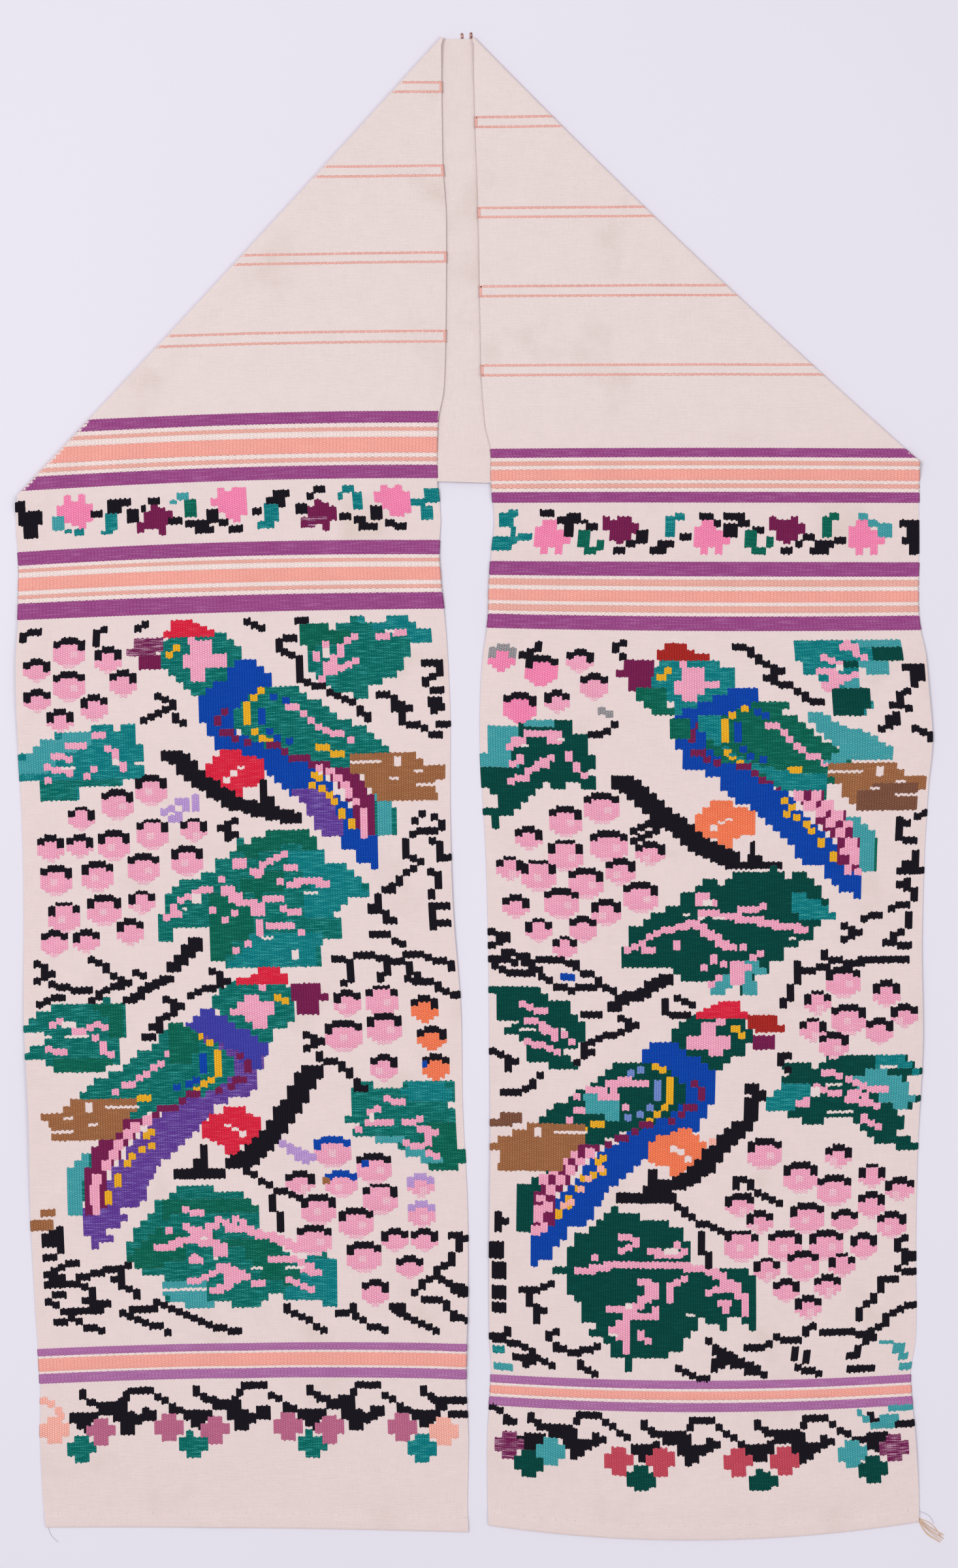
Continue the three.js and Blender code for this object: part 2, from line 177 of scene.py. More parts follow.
def under_height(xy):
    """How high the under layer's underside lifts off the surface, which it does between the legs."""
    aside = (xy[..., 0] - UNDER_LIFT["x"]) / UNDER_LIFT["half_width"]
    up = (xy[..., 1] - under_edge(xy[..., 0])) / UNDER_LIFT["depth"]
    return UNDER_LIFT["height"] * np.exp(-aside ** 2 - up ** 2)


def leg_height(fold, xy):
    """How high a leg's underside lies: on the surface, on the under layer, or beside its fold."""
    x, y = xy[..., 0], xy[..., 1]
    down = np.clip((under_edge(x) - y - RAMP_START) / (RAMP_END - RAMP_START), 0, 1)
    on_layer = 1 - down * down * (3 - 2 * down)
    share, _ = fold.read(xy)
    nearest = fold.point(np.clip(share, 0, 1), np.zeros_like(share))
    away = np.hypot(*np.moveaxis(xy - nearest, -1, 0))
    near = np.exp(-(np.maximum(away - ROLL_CENTRE, 0) / FOLD_SETTLE) ** 2)
    height = (LEG_REST + (FOLD_REST - LEG_REST) * near) * on_layer
    for ridge in RIDGES:
        run = math.radians(ridge.run)
        dx, dy = x - ridge.x, y - ridge.y
        along = (dx * math.cos(run) + dy * math.sin(run)) / ridge.long
        across = (dy * math.cos(run) - dx * math.sin(run)) / ridge.wide
        height = height + ridge.height * np.exp(-along ** 2 - across ** 2) * (1 - near)
    return height


print("fold lengths, mm:", round(LEFT_FOLD.length), round(RIGHT_FOLD.length))

# %% [markdown]
# ## Laying flat cloth on the folds
# A weaver counts columns across the cloth and picks along it. `lay` takes such a flat place, 56
# columns from selvedge to selvedge and a height along the leg, and gives its place on the folded
# towel and the way up there. Past a fold's line the place first runs round the roll and then on
# below, so a stripe that reaches the fold goes under with the cloth. `unlay` goes the other way.

# %% Between flat cloth and folded towel
COLUMNS = 56
Leg = namedtuple("Leg", "name weft fold side first_row")
LEFT = Leg("left", LEFT_WEFT, LEFT_FOLD, -1, 184.3)
RIGHT = Leg("right", RIGHT_WEFT, RIGHT_FOLD, 1, 163.9)
ROW = 7.1


CLOTH_WIDE = 450


def weft_place(leg, share, y):
    """A flat place on a leg, as if it had no fold. Share is 0 at the outer selvedge."""
    outer, inner, tilt, bow = through(leg.weft, y)
    x = outer + (inner - outer) * share
    return np.stack([x, y + tilt * (0.5 - share) + bow * (4 * share * (1 - share) - 0.5)], -1)


def lay(leg, column, y):
    across = column / COLUMNS
    flat = weft_place(leg, across if leg.side < 0 else 1 - across, y)
    share, inwards = leg.fold.read(flat)
    past = np.where(share > 0, np.maximum(ROLL_CENTRE - inwards, 0), 0)
    turn = np.clip(past / ROLL_RADIUS, 0, math.pi)
    below = np.maximum(past - ROLL_ARC, 0)
    rolled = leg.fold.point(share, ROLL_CENTRE - ROLL_RADIUS * np.sin(turn) + below)
    xy = np.where((past > 0)[..., None], rolled, flat)
    top = leg_height(leg.fold, xy) + HALF_SPACE
    roll = ROLL_CENTRE + ROLL_RADIUS * np.cos(turn)
    z = np.where(past <= 0, top, np.where(turn < math.pi, roll, under_height(xy) + HALF_SPACE))
    out = -leg.fold.inwards * np.sin(turn)[..., None]
    up = np.concatenate([out, np.cos(turn)[..., None]], -1)
    return np.concatenate([xy, z[..., None]], -1), up


def unlay(leg, xy, under=False):
    """The flat place, in millimetres across and along, of a place on a leg or on the under layer."""
    if under:
        share, inwards = leg.fold.read(xy)
        xy = leg.fold.point(share, 2 * ROLL_CENTRE - ROLL_ARC - inwards)
    y = xy[..., 1]
    for _ in range(4):
        outer, inner, tilt, bow = through(leg.weft, y)
        share = (xy[..., 0] - outer) / (inner - outer)
        bulge = np.clip(4 * share * (1 - share), 0, 1)
        y = xy[..., 1] - tilt * (0.5 - share) - bow * (bulge - 0.5)
    return np.stack([(share if leg.side < 0 else 1 - share) * CLOTH_WIDE, y], -1)


print("left fold's corner lies at", np.round(lay(LEFT, np.array([0.0]), np.array([306.0]))[0][0], 1))

# %% [markdown]
# ## The ground cloth
# The ground is a plain handwoven cotton, one strip folded twice, with a turned hem at both ends. A
# real towel is made flat and then folded, and this one is too: a flat grid is added, each of its
# rows is laid on the folds, and a Solidify modifier gives it its thickness. Its UV map keeps every
# point's place on the flat cloth, so the weave follows the cloth round the folds.

# %% Rows of the strip, from one hem to the other
HEM_ROWS = [(12.6, 0.45), (7, 0.4), (2, 0.4), (0.6, 0.6), (0, 1.15), (0.6, 1.7),
            (2.2, 1.95), (7, 1.98), (11.4, 1.9), (13, 1.5), (14.6, 1.2), (17, 0.8)]
PLAIN_START = 24
CREASE_LINE = 16
LEG_STEP, FAN_ROWS, ROLL_STEPS, UNDER_ROWS = 7.1, 64, 8, 96
SHARES = np.linspace(0, 1, COLUMNS + 1)


def row_on(leg, y, lift):
    xy = weft_place(leg, SHARES, np.full(COLUMNS + 1, float(y)))
    z = leg_height(leg.fold, xy) + lift
    return np.concatenate([xy, z[:, None]], 1), unlay(leg, xy)


def fan_row(leg, start_y, share):
    """A row that swings from the last weft line on the leg towards the fold."""
    first = weft_place(leg, SHARES, np.full(COLUMNS + 1, start_y))
    last = leg.fold.point(SHARES, np.full(COLUMNS + 1, ROLL_CENTRE))
    xy = first + (last - first) * share
    inner = through(leg.weft, np.array([xy[-1, 1]]))[1][0]
    xy[:, 0] += (inner - xy[-1, 0]) * SHARES ** 6 * (share < 1)
    z = leg_height(leg.fold, xy) + HALF_SPACE
    return np.concatenate([xy, z[:, None]], 1), unlay(leg, xy)


def roll_row(leg, turn):
    xy = leg.fold.point(SHARES, np.full(COLUMNS + 1, ROLL_CENTRE - ROLL_RADIUS * math.sin(turn)))
    z = np.full((COLUMNS + 1, 1), ROLL_CENTRE + ROLL_RADIUS * math.cos(turn))
    flat = unlay(leg, leg.fold.point(SHARES, np.full(COLUMNS + 1, ROLL_CENTRE - ROLL_RADIUS * turn)))
    return np.concatenate([xy, z], 1), flat


def under_row(share):
    ends = [leg.fold.point(SHARES, np.full(COLUMNS + 1, ROLL_CENTRE)) for leg in (LEFT, RIGHT)]
    xy = ends[0] + (ends[1] - ends[0]) * share
    drop = (under_edge(xy[:, 0]) - xy[0, 1]) * math.sin(math.pi * share) ** 0.5
    xy[:, 1] += drop * (1 - SHARES) ** 2
    z = under_height(xy) + HALF_SPACE
    return np.concatenate([xy, z[:, None]], 1), unlay(LEFT, xy, under=True)


def top_rows(leg):
    hem = leg.weft[0].y
    fan_y = min(under_edge(leg.weft[0].outer), under_edge(leg.weft[CREASE_LINE].inner)) - RAMP_START
    plain = np.arange(hem + PLAIN_START, fan_y, LEG_STEP)
    rows = [row_on(leg, hem + up, lift) for up, lift in HEM_ROWS]
    rows += [row_on(leg, y, HALF_SPACE) for y in plain]
    return rows + [fan_row(leg, fan_y, i / FAN_ROWS) for i in range(FAN_ROWS + 1)]


def leg_rows(leg):
    return top_rows(leg) + [roll_row(leg, math.pi * i / ROLL_STEPS) for i in range(1, ROLL_STEPS + 1)]


under_rows = [under_row(i / UNDER_ROWS) for i in range(1, UNDER_ROWS)]
strip = leg_rows(LEFT) + under_rows + leg_rows(RIGHT)[::-1]
print("rows in the strip:", len(strip))

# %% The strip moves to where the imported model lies
towel_low, towel_high = (np.array(corner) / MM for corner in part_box("towel"))
own = np.concatenate([row[0] for row in strip])
SHIFT = np.array([towel_low[0] - own[:, 0].min(), towel_high[1] - PEAK, 0])
print("shift into the packed frame, mm:", np.round(SHIFT, 2))


def to_metres(points):
    return (points + SHIFT) * MM


# %% A flat grid is laid on the folds and made thick
CLOTH = 0.6
WEAVE = "Weave"


def finish_piece(piece, name):
    piece.name = name
    piece.data.name = name
    piece.select_set(False)
    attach(piece, "root")
    return piece


def add_strip():
    bpy.ops.mesh.primitive_grid_add(x_subdivisions=COLUMNS, y_subdivisions=len(strip) - 1, size=1)
    cloth = bpy.context.object
    mesh = cloth.data
    places = np.array([row[0] for row in strip])
    flats = np.array([row[1] for row in strip])
    assert len(mesh.vertices) == places.shape[0] * places.shape[1]
    mesh.vertices.foreach_set("co", to_metres(places).ravel())
    corner = np.empty(len(mesh.loops), int)
    mesh.loops.foreach_get("vertex_index", corner)
    mesh.uv_layers.active.name = WEAVE
    mesh.uv_layers[WEAVE].uv.foreach_set("vector", flats.reshape(-1, 2)[corner].ravel())
    mesh.update()
    bpy.ops.object.mode_set(mode="EDIT")
    bpy.ops.mesh.select_all(action="SELECT")
    bpy.ops.mesh.flip_normals()
    bpy.ops.object.mode_set(mode="OBJECT")
    thick = cloth.modifiers.new("Thickness", "SOLIDIFY")
    thick.thickness = CLOTH * MM
    thick.offset = 0
    thick.use_even_offset = True
    bpy.ops.object.modifier_apply(modifier=thick.name)
    bpy.ops.object.shade_smooth_by_angle(angle=math.radians(50))
    return finish_piece(cloth, "ground_cloth")


ground_cloth = add_strip()
print("ground cloth:", len(ground_cloth.data.polygons), "faces")

# %% [markdown]
# ## Shader sums written as Python sums
# A cloth finish is a lot of small arithmetic: a groove between ribs, a thread every millimetre, a
# little uneven dye. Wiring that by hand hides the idea, so `Wire` wraps one socket and every
# operator on it adds its Math node. `Finish` holds one material, and its `node` method adds any
# other node: the type, the settings, then the values or links of its sockets.

# %% Wire and Finish
class Wire:
    """A socket of one finish, with sums that add Math nodes."""

    def __init__(self, finish, socket):
        self.finish = finish
        self.socket = socket

    def math(self, operation, *terms):
        return self.finish.node("ShaderNodeMath", {"operation": operation}, dict(enumerate(terms)))

    def __add__(self, other):
        return self.math("ADD", self, other)

    def __mul__(self, other):
        return self.math("MULTIPLY", self, other)

    def __sub__(self, other):
        return self.math("SUBTRACT", self, other)

    def __rsub__(self, other):
        return self.math("SUBTRACT", other, self)

    def __truediv__(self, other):
        return self.math("DIVIDE", self, other)

    __radd__ = __add__
    __rmul__ = __mul__

    def part(self):
        """The part after the decimal point, which makes a pattern repeat."""
        return self.math("FRACT", self)

    def whole(self):
        return self.math("FLOOR", self)

    def size(self):
        return self.math("ABSOLUTE", self)

    def ramp(self, low, high):
        """0 below low, 1 above high, smooth between."""
        return self.finish.node("ShaderNodeMapRange", {"interpolation_type": "SMOOTHSTEP"},
                                {"Value": self, "From Min": low, "From Max": high}, "Result")

    def ridge(self):
        """0 in the middle of each whole step and 1 at both its ends."""
        return (self.part() - 0.5).size() * 2


class Finish:
    """One material and the nodes in it."""

    def __init__(self, name):
        self.material = bpy.data.materials.new(name)
        self.material.use_nodes = True
        self.tree = self.material.node_tree
        self.surface = self.tree.nodes["Principled BSDF"]

    def node(self, kind, settings=None, sockets=None, output=0):
        made = self.tree.nodes.new(kind)
        for name, value in (settings or {}).items():
            setattr(made, name, value)
        for key, value in (sockets or {}).items():
            self.put(made.inputs[key], value)
        return Wire(self, made.outputs[output])

    def put(self, socket, value):
        if isinstance(value, Wire):
            self.tree.links.new(value.socket, socket)
        else:
            socket.default_value = value

    def flat_place(self):
        """The two coordinates of the cloth's own map."""
        place = self.node("ShaderNodeUVMap", {"uv_map": WEAVE}, {}, "UV")
        split = self.tree.nodes.new("ShaderNodeSeparateXYZ")
        self.put(split.inputs[0], place)
        return Wire(self, split.outputs["X"]), Wire(self, split.outputs["Y"])

    def noise(self, x, y, detail=2.0):
        """Soft noise from 0 to 1 on a stretched map: one unit of x or y is about one grain."""
        place = self.node("ShaderNodeCombineXYZ", {}, {"X": x, "Y": y})
        return self.node("ShaderNodeTexNoise", {}, {"Vector": place, "Scale": 1.0, "Detail": detail}, "Fac")

    def blend(self, share, first, second):
        return self.node("ShaderNodeMix", {"data_type": "RGBA"}, {0: share, 6: first, 7: second}, 2)

    def dim(self, colour, amount):
        """A colour scaled by a number."""
        tint = self.node("ShaderNodeCombineXYZ", {}, {"X": amount, "Y": amount, "Z": amount})
        colour = colour if isinstance(colour, Wire) else colour[:3]
        return self.node("ShaderNodeVectorMath", {"operation": "MULTIPLY"}, {0: colour, 1: tint})

    def bump(self, height, depth, strength=1.0):
        return self.node("ShaderNodeBump", {},
                         {"Strength": strength, "Distance": depth * MM, "Height": height}, "Normal")


def linear(red, green, blue):
    """A colour read off a screen, as the light it stands for."""
    shares = [value / 255 for value in (red, green, blue)]
    return (*((s / 12.92 if s <= 0.04045 else ((s + 0.055) / 1.055) ** 2.4) for s in shares), 1.0)


# %% [markdown]
# ## The look of the ground cloth
# The ground is unbleached cotton in plain weave: pale, a little pink, beiger where the towel was
# never washed as often, with slubs along both thread directions and a few faint stains. The threads
# are finer than a millimetre, so they are bump and tone and no geometry. The slubs and grain are the
# cotton's own tone. The edges of each thread are painted darker as painted shade where it dips under
# the next thread. Both thread directions come from the cloth's own map, and the beige of the top
# comes from the height on the object.

# %% Ground cloth finish
THREAD = 0.85
GROUND_PINK = (242, 222, 221)
GROUND_BEIGE = (242, 225, 223)
GROUND_STAIN = (214, 193, 176)
BEIGE_START, BEIGE_FULL = 0.26, 0.42


def cotton_finish():
    cotton = Finish("handwoven_cotton")
    x, y = cotton.flat_place()
    warp = (x / THREAD).ridge()
    weft = (y / THREAD).ridge()
    odd = ((x / THREAD).whole() + (y / THREAD).whole()) * 0.5
    over = odd.part() * 2
    tabby_relief_and_shade = over * (1 - warp) + (1 - over) * (1 - weft)
    slub_along = cotton.noise(x * 1.1, y * 0.05)
    slub_across = cotton.noise(x * 0.05, y * 1.1)
    grain = cotton.noise(x * 0.9, y * 0.9)
    stain = cotton.noise(x * 0.012 + 4.0, y * 0.012, 3.0)
    cloud = cotton.noise(x * 0.05, y * 0.04 + 9.0, 3.0)
    place = cotton.node("ShaderNodeTexCoord", {}, {}, "Object")
    height_up = cotton.node("ShaderNodeSeparateXYZ", {}, {0: place}, "Y")
    beige = height_up.ramp(BEIGE_START, BEIGE_FULL)
    base = cotton.blend(beige, linear(*GROUND_PINK), linear(*GROUND_BEIGE))
    base = cotton.blend(stain.ramp(0.56, 0.8) * 0.35, base, linear(*GROUND_STAIN))
    tone = 0.905 + slub_along * 0.07 + slub_across * 0.12 + (grain - 0.5) * 0.10 + (cloud - 0.5) * 0.06
    # Painted shade: each thread's edges darker and its middle lighter, where the threads dip under each
    # other
    tone = tone + (tabby_relief_and_shade - 0.5) * 0.06
    cotton.put(cotton.surface.inputs["Base Color"], cotton.dim(base, tone))
    cotton.surface.inputs["Roughness"].default_value = 0.95
    cotton.surface.inputs["Specular IOR Level"].default_value = 0.25
    height = tabby_relief_and_shade + slub_along * 1.4 + slub_across * 1.4 + grain * 0.8
    cotton.put(cotton.surface.inputs["Normal"], cotton.bump(height, 0.16))
    return cotton.material


ground_cloth.data.materials.append(cotton_finish())
print("ground cloth finish:", len(ground_cloth.data.materials[0].node_tree.nodes), "nodes")

# %% [markdown]
# ## Coloured yarns
# The birds and flowers are laid in with thick soft yarn that covers the warp completely, so each
# colour shows as a row of upright ribs with two fine threads on every rib and short dashes where
# picks dip between them. `yarn_finish` draws the grooves between ribs and the dashes from the ribs'
# own map, in which one unit across is one rib and one unit along is a millimetre. They are drawn as
# bump and as painted shade, with a painted highlight on the top of each bead between them. A streaked
# yarn takes a second colour in long streaks along the weft, as hand-dyed wool does.

# %% Yarn colours and their finish
Yarn = namedtuple("Yarn", "colour second streak slant", defaults=(None, 0.0, 0.0))
YARNS = {
    "black": Yarn((24, 20, 30)),
    "light_teal": Yarn((66, 160, 168), (112, 188, 188), 0.4),
    "teal": Yarn((4, 122, 128), (70, 178, 176), 0.7),
    "leaf_green": Yarn((0, 106, 98), (60, 168, 164), 0.8),
    "dark_green": Yarn((4, 98, 80), (40, 142, 122), 0.6),
    "deep_green": Yarn((0, 68, 62), (14, 98, 86), 0.4),
    "pink": Yarn((247, 168, 196), (250, 196, 214), 0.5, 0.5),
    "pale_pink": Yarn((247, 190, 208), (244, 214, 220), 0.8, 0.5),
    "hot_pink": Yarn((252, 138, 182), (252, 168, 200), 0.4, 0.5),
    "plum": Yarn((120, 30, 80), (140, 44, 98), 0.3),
    "streaked_plum": Yarn((118, 30, 84), (215, 170, 195), 0.9),
    "blue": Yarn((8, 68, 172), (30, 88, 186), 0.3),
    "violet_blue": Yarn((64, 64, 168), (86, 86, 184), 0.3),
    "violet": Yarn((98, 58, 150), (150, 128, 204), 0.7),
    "lilac": Yarn((188, 152, 214), (205, 178, 222), 0.5, 0.5),
    "periwinkle": Yarn((112, 138, 204), (140, 160, 212), 0.4),
    "red": Yarn((224, 34, 64), (238, 88, 104), 0.5, 0.5),
    "brick": Yarn((172, 40, 36), (184, 60, 52), 0.3, 0.3),
    "rose_red": Yarn((200, 74, 92), (212, 98, 114), 0.4, 0.5),
    "mauve_rose": Yarn((192, 106, 140), (206, 130, 158), 0.4, 0.5),
    "orange": Yarn((250, 126, 86), (252, 150, 116), 0.4, 0.5),
    "peach": Yarn((254, 182, 168), (254, 200, 186), 0.5, 0.5),
    "yellow": Yarn((240, 176, 38), (244, 190, 70), 0.3),
    "brown": Yarn((160, 104, 68), (182, 130, 92), 0.5),
    "dark_brown": Yarn((126, 82, 64), (146, 102, 82), 0.4),
    "grey": Yarn((150, 146, 150), (185, 180, 180), 0.5),
    "purple": Yarn((157, 74, 137), (184, 114, 167), 0.7),
    "mauve": Yarn((178, 112, 168), (196, 142, 188), 0.6),
    "salmon": Yarn((252, 172, 160), (254, 190, 178), 0.4, 0.35),
    "dusty_salmon": Yarn((242, 178, 166), (248, 196, 186), 0.4, 0.35),
    "cream": Yarn((250, 230, 226), (253, 238, 236), 0.5),
    "line_pink": Yarn((242, 182, 172), (248, 206, 198), 0.6),
}


PICK = 2.3
# How strongly grooves and pick dashes are painted darker and bead tops lighter (painted shade and painted
# highlight); the stripes get less
FULL_BEAD_SHADE, SOFT_BEAD_SHADE = 0.38, 0.12
STRIPE_YARNS = ("purple", "mauve", "salmon", "dusty_salmon", "cream", "line_pink")


def yarn_finish(name):
    yarn = YARNS[name]
    wool = Finish(name + "_yarn")
    rib, along = wool.flat_place()
    # The grooves between ribs and the dips between picks: a mask for the bump and for painted shade
    groove = rib.ridge().ramp(0.62, 1.15)
    pick = (along / PICK + rib.whole() * 0.5 + rib.part() * yarn.slant).ridge()
    bead_relief_and_shade = (1 - groove) * (1 - pick.ramp(0.25, 0.95))
    fleck = wool.noise(rib * 2.3, along * 1.1, 2.0)
    dye = wool.noise(rib * 0.10, along * 0.035 + 3.0, 3.0)
    streak = wool.noise(rib * 0.16, along * 0.8, 3.0).ramp(0.45, 0.72) * yarn.streak
    streak = streak * (0.55 + fleck * 0.8)
    base = wool.blend(streak, linear(*yarn.colour), linear(*(yarn.second or yarn.colour)))
    bead_shade_strength = SOFT_BEAD_SHADE if name in STRIPE_YARNS else FULL_BEAD_SHADE
    # Painted shade in the grooves and pick dashes and a painted highlight on each bead's top, plus the
    # yarn's own flecks and uneven dye
    tone = 1.0 + (bead_relief_and_shade - 0.45) * bead_shade_strength + (fleck - 0.5) * 0.42 + (dye - 0.5) * 0.16
    wool.put(wool.surface.inputs["Base Color"], wool.dim(base, tone))
    wool.surface.inputs["Roughness"].default_value = 0.9
    wool.surface.inputs["Specular IOR Level"].default_value = 0.12
    wool.put(wool.surface.inputs["Normal"], wool.bump(bead_relief_and_shade + fleck * 0.4, 0.45))
    return wool.material


print("yarn colours:", len(YARNS))

# %% [markdown]
# ## One rib of yarn
# Where the weft packs over a pair of warp threads it stands up as a small rib, closed at both ends,
# about a quarter of a centimetre wide. It is modelled once: a four-sided bar is cut into
# rings and both its ends are drawn in. Its top is at height 1 and narrow. Its foot lies a little
# inside the cloth and is wider, so that the ribs stand side by side with no gap. The towel has
# thousands of ribs that each bend with the cloth, so the copies are laid by code: every point of
# the bar is counted in rings along the rib, and `lay` puts it on the folds.

# %% A bar for one rib
Bar = namedtuple("Bar", "across up ring corners faces")
RIB_OVERLAP = 1.5
RIB_HEIGHT = 0.6
END_TAPER = 1.0
END_SIZE = 0.5
BAR_FOOT = -0.2
BAR_MIDDLE, BAR_TALL = (1 + BAR_FOOT) / 2, 1 - BAR_FOOT
SIDE_SLOPE = 0.5


def model_bar(steps):
    """A four-sided bar with a ring at each whole number, and both ends drawn in."""
    rings = steps + 2
    bpy.ops.mesh.primitive_cylinder_add(vertices=4, radius=math.sqrt(0.5), depth=rings,
                                        end_fill_type="NGON", rotation=(0, 0, math.pi / 4))
    bpy.ops.object.transform_apply(rotation=True)
    bar = bpy.context.object
    bpy.ops.object.mode_set(mode="EDIT")
    bpy.ops.mesh.select_mode(type="EDGE")
    bpy.ops.mesh.select_all(action="DESELECT")
    bpy.ops.object.mode_set(mode="OBJECT")
    for edge in bar.data.edges:
        low, high = (bar.data.vertices[i].co.z for i in edge.vertices)
        edge.select = abs(high - low) > 0.5
    bpy.ops.object.mode_set(mode="EDIT")
    bpy.ops.mesh.subdivide(number_cuts=rings - 1)
    bpy.ops.mesh.select_mode(type="FACE")
    bpy.ops.mesh.select_all(action="DESELECT")
    bpy.ops.object.mode_set(mode="OBJECT")
    for face in bar.data.polygons:
        face.select = abs(face.normal.z) > 0.5
    bpy.ops.object.mode_set(mode="EDIT")
    bpy.ops.transform.resize(value=(END_SIZE, END_SIZE, 1),
                             center_override=(-BAR_MIDDLE / BAR_TALL, 0, 0))
    bpy.ops.object.mode_set(mode="OBJECT")
    places = np.array([vertex.co for vertex in bar.data.vertices])
    faces = [tuple(face.vertices) for face in bar.data.polygons]
    mesh = bar.data
    bpy.data.objects.remove(bar)
    bpy.data.meshes.remove(mesh)
    ring = np.rint(places[:, 2] + rings / 2)
    corners = np.concatenate([np.array(face) for face in faces])
    up = BAR_MIDDLE + BAR_TALL * places[:, 0]
    across = places[:, 1] * (1 - SIDE_SLOPE * up)
    return Bar(across, up, ring, corners, np.array([len(face) for face in faces]))


bars = {}


def bar_of(steps):
    if steps not in bars:
        bars[steps] = model_bar(steps)
    return bars[steps]


# %% Ribs are laid as copies of the bar
Rib = namedtuple("Rib", "leg column wide low high number")
LONGEST_STEP = 9.0


def lay_ribs(ribs, step=LONGEST_STEP, height=RIB_HEIGHT, lift=0.0, taper=END_TAPER):
    """The points, map and faces of many ribs. Each runs up the cloth from low to high."""
    groups = {}
    for rib in ribs:
        steps = max(1, math.ceil((rib.high - rib.low) / step))
        groups.setdefault((rib.leg.name, steps), []).append(rib)
    points, maps, corners, sizes, count = [], [], [], [], 0
    for (_, steps), group in groups.items():
        bar = bar_of(steps)
        column, wide, low, high, number = (
            np.array([getattr(rib, name) for rib in group])[:, None]
            for name in ("column", "wide", "low", "high", "number"))
        drawn_in = np.minimum(taper, (high - low) * 0.3)
        middle = low + (high - low) * (bar.ring - 1) / steps
        y = np.clip(middle, low + drawn_in, high - drawn_in)
        y = np.where(bar.ring == 0, low, np.where(bar.ring == steps + 2, high, y))
        across = bar.across * RIB_OVERLAP
        place, up = lay(group[0].leg, column + across * wide, y)
        proud = height * (0.93 + 0.14 * ((number * 0.618) % 1))
        place = place + up * (bar.up * proud + lift)[..., None]
        points.append(place.reshape(-1, 3))
        maps.append(np.stack([number + 0.5 + across + 0 * y, y], -1).reshape(-1, 2))
        first = count + np.arange(len(group))[:, None] * len(bar.ring)
        corners.append((first + bar.corners).ravel())
        sizes.append(np.tile(bar.faces, len(group)))
        count += len(group) * len(bar.ring)
    return [np.concatenate(part) for part in (points, maps, corners, sizes)]


def add_ribs(name, yarn, parts):
    """One piece from the laid ribs of one yarn."""
    mesh = bpy.data.meshes.new(name)
    sums = np.cumsum([0] + [len(part[0]) for part in parts])
    points = np.concatenate([part[0] for part in parts])
    maps = np.concatenate([part[1] for part in parts])
    corners = np.concatenate([part[2] + sums[i] for i, part in enumerate(parts)])
    sizes = np.concatenate([part[3] for part in parts])
    mesh.vertices.add(len(points))
    mesh.vertices.foreach_set("co", to_metres(points).ravel())
    mesh.loops.add(len(corners))
    mesh.loops.foreach_set("vertex_index", corners)
    mesh.polygons.add(len(sizes))
    mesh.polygons.foreach_set("loop_start", np.cumsum(sizes) - sizes)
    mesh.polygons.foreach_set("use_smooth", np.ones(len(sizes), bool))
    mesh.update(calc_edges=True)
    mesh.uv_layers.new(name=WEAVE)
    mesh.uv_layers[WEAVE].uv.foreach_set("vector", maps[corners].ravel())
    mesh.materials.append(yarn_finish(yarn))
    mesh.validate()
    piece = bpy.data.objects.new(name, mesh)
    bpy.context.collection.objects.link(piece)
    triangles = int((sizes - 2).sum())
    print(name, "-", triangles, "triangles")
    return finish_piece(piece, name)


# %% [markdown]
# ## Stripes from selvedge to selvedge
# The stripes are woven with the same coloured wefts over a slightly wider warp pair, right across
# the cloth. Their edges look toothed, because every rib is drawn in at both ends. A table gives
# each stripe its yarn and its first and last row, counted in rows of 7.1 mm down from the top of
# the bird panel.

# %% Stripes of both legs
BAND_RIBS = 122
Stripe = namedtuple("Stripe", "yarn start end")


def stripes(first, *rest):
    """Neighbouring stripes, from a first row and then each stripe's yarn and last row."""
    made, start = [], first
    for yarn, end in zip(rest[::2], rest[1::2]):
        made.append(Stripe(yarn, start, end))
        start = end
    return made


LEFT_STRIPES = (
    stripes(-28.9, "purple", -27.15, "cream", -26.55, "dusty_salmon", -25.95, "cream", -25.1,
            "salmon", -22.75, "cream", -22.15, "dusty_salmon", -21.5, "cream", -21.0, "purple", -19.0)
    + stripes(-10.1, "purple", -8.0, "cream", -7.5, "dusty_salmon", -6.95, "cream", -6.2,
              "salmon", -4.2, "cream", -3.6, "dusty_salmon", -3.0, "cream", -2.4, "purple", 0.1)
    + stripes(107.25, "mauve", 108.4, "cream", 108.7, "salmon", 110.65, "cream", 110.95,
              "mauve", 112.45))
RIGHT_STRIPES = (
    stripes(-27.0, "purple", -25.6, "cream", -25.1, "dusty_salmon", -24.4, "cream", -23.9,
            "salmon", -22.25, "cream", -21.8, "dusty_salmon", -21.1, "cream", -20.6, "purple", -19.0)
    + stripes(-10.4, "purple", -8.25, "cream", -7.8, "dusty_salmon", -6.8, "cream", -6.2,
              "salmon", -4.5, "cream", -4.0, "dusty_salmon", -3.0, "cream", -2.5, "purple", -0.35)
    + stripes(109.2, "mauve", 110.45, "cream", 110.8, "salmon", 112.05, "cream", 112.45,
              "mauve", 113.8))


def stripe_ribs(leg, table):
    wide = COLUMNS / BAND_RIBS
    ribs = {}
    for stripe in table:
        for i in range(BAND_RIBS):
            high = leg.first_row - stripe.start * ROW
            low = leg.first_row - stripe.end * ROW
            ribs.setdefault(stripe.yarn, []).append(Rib(leg, (i + 0.5) * wide, wide, low, high, i))
    return ribs


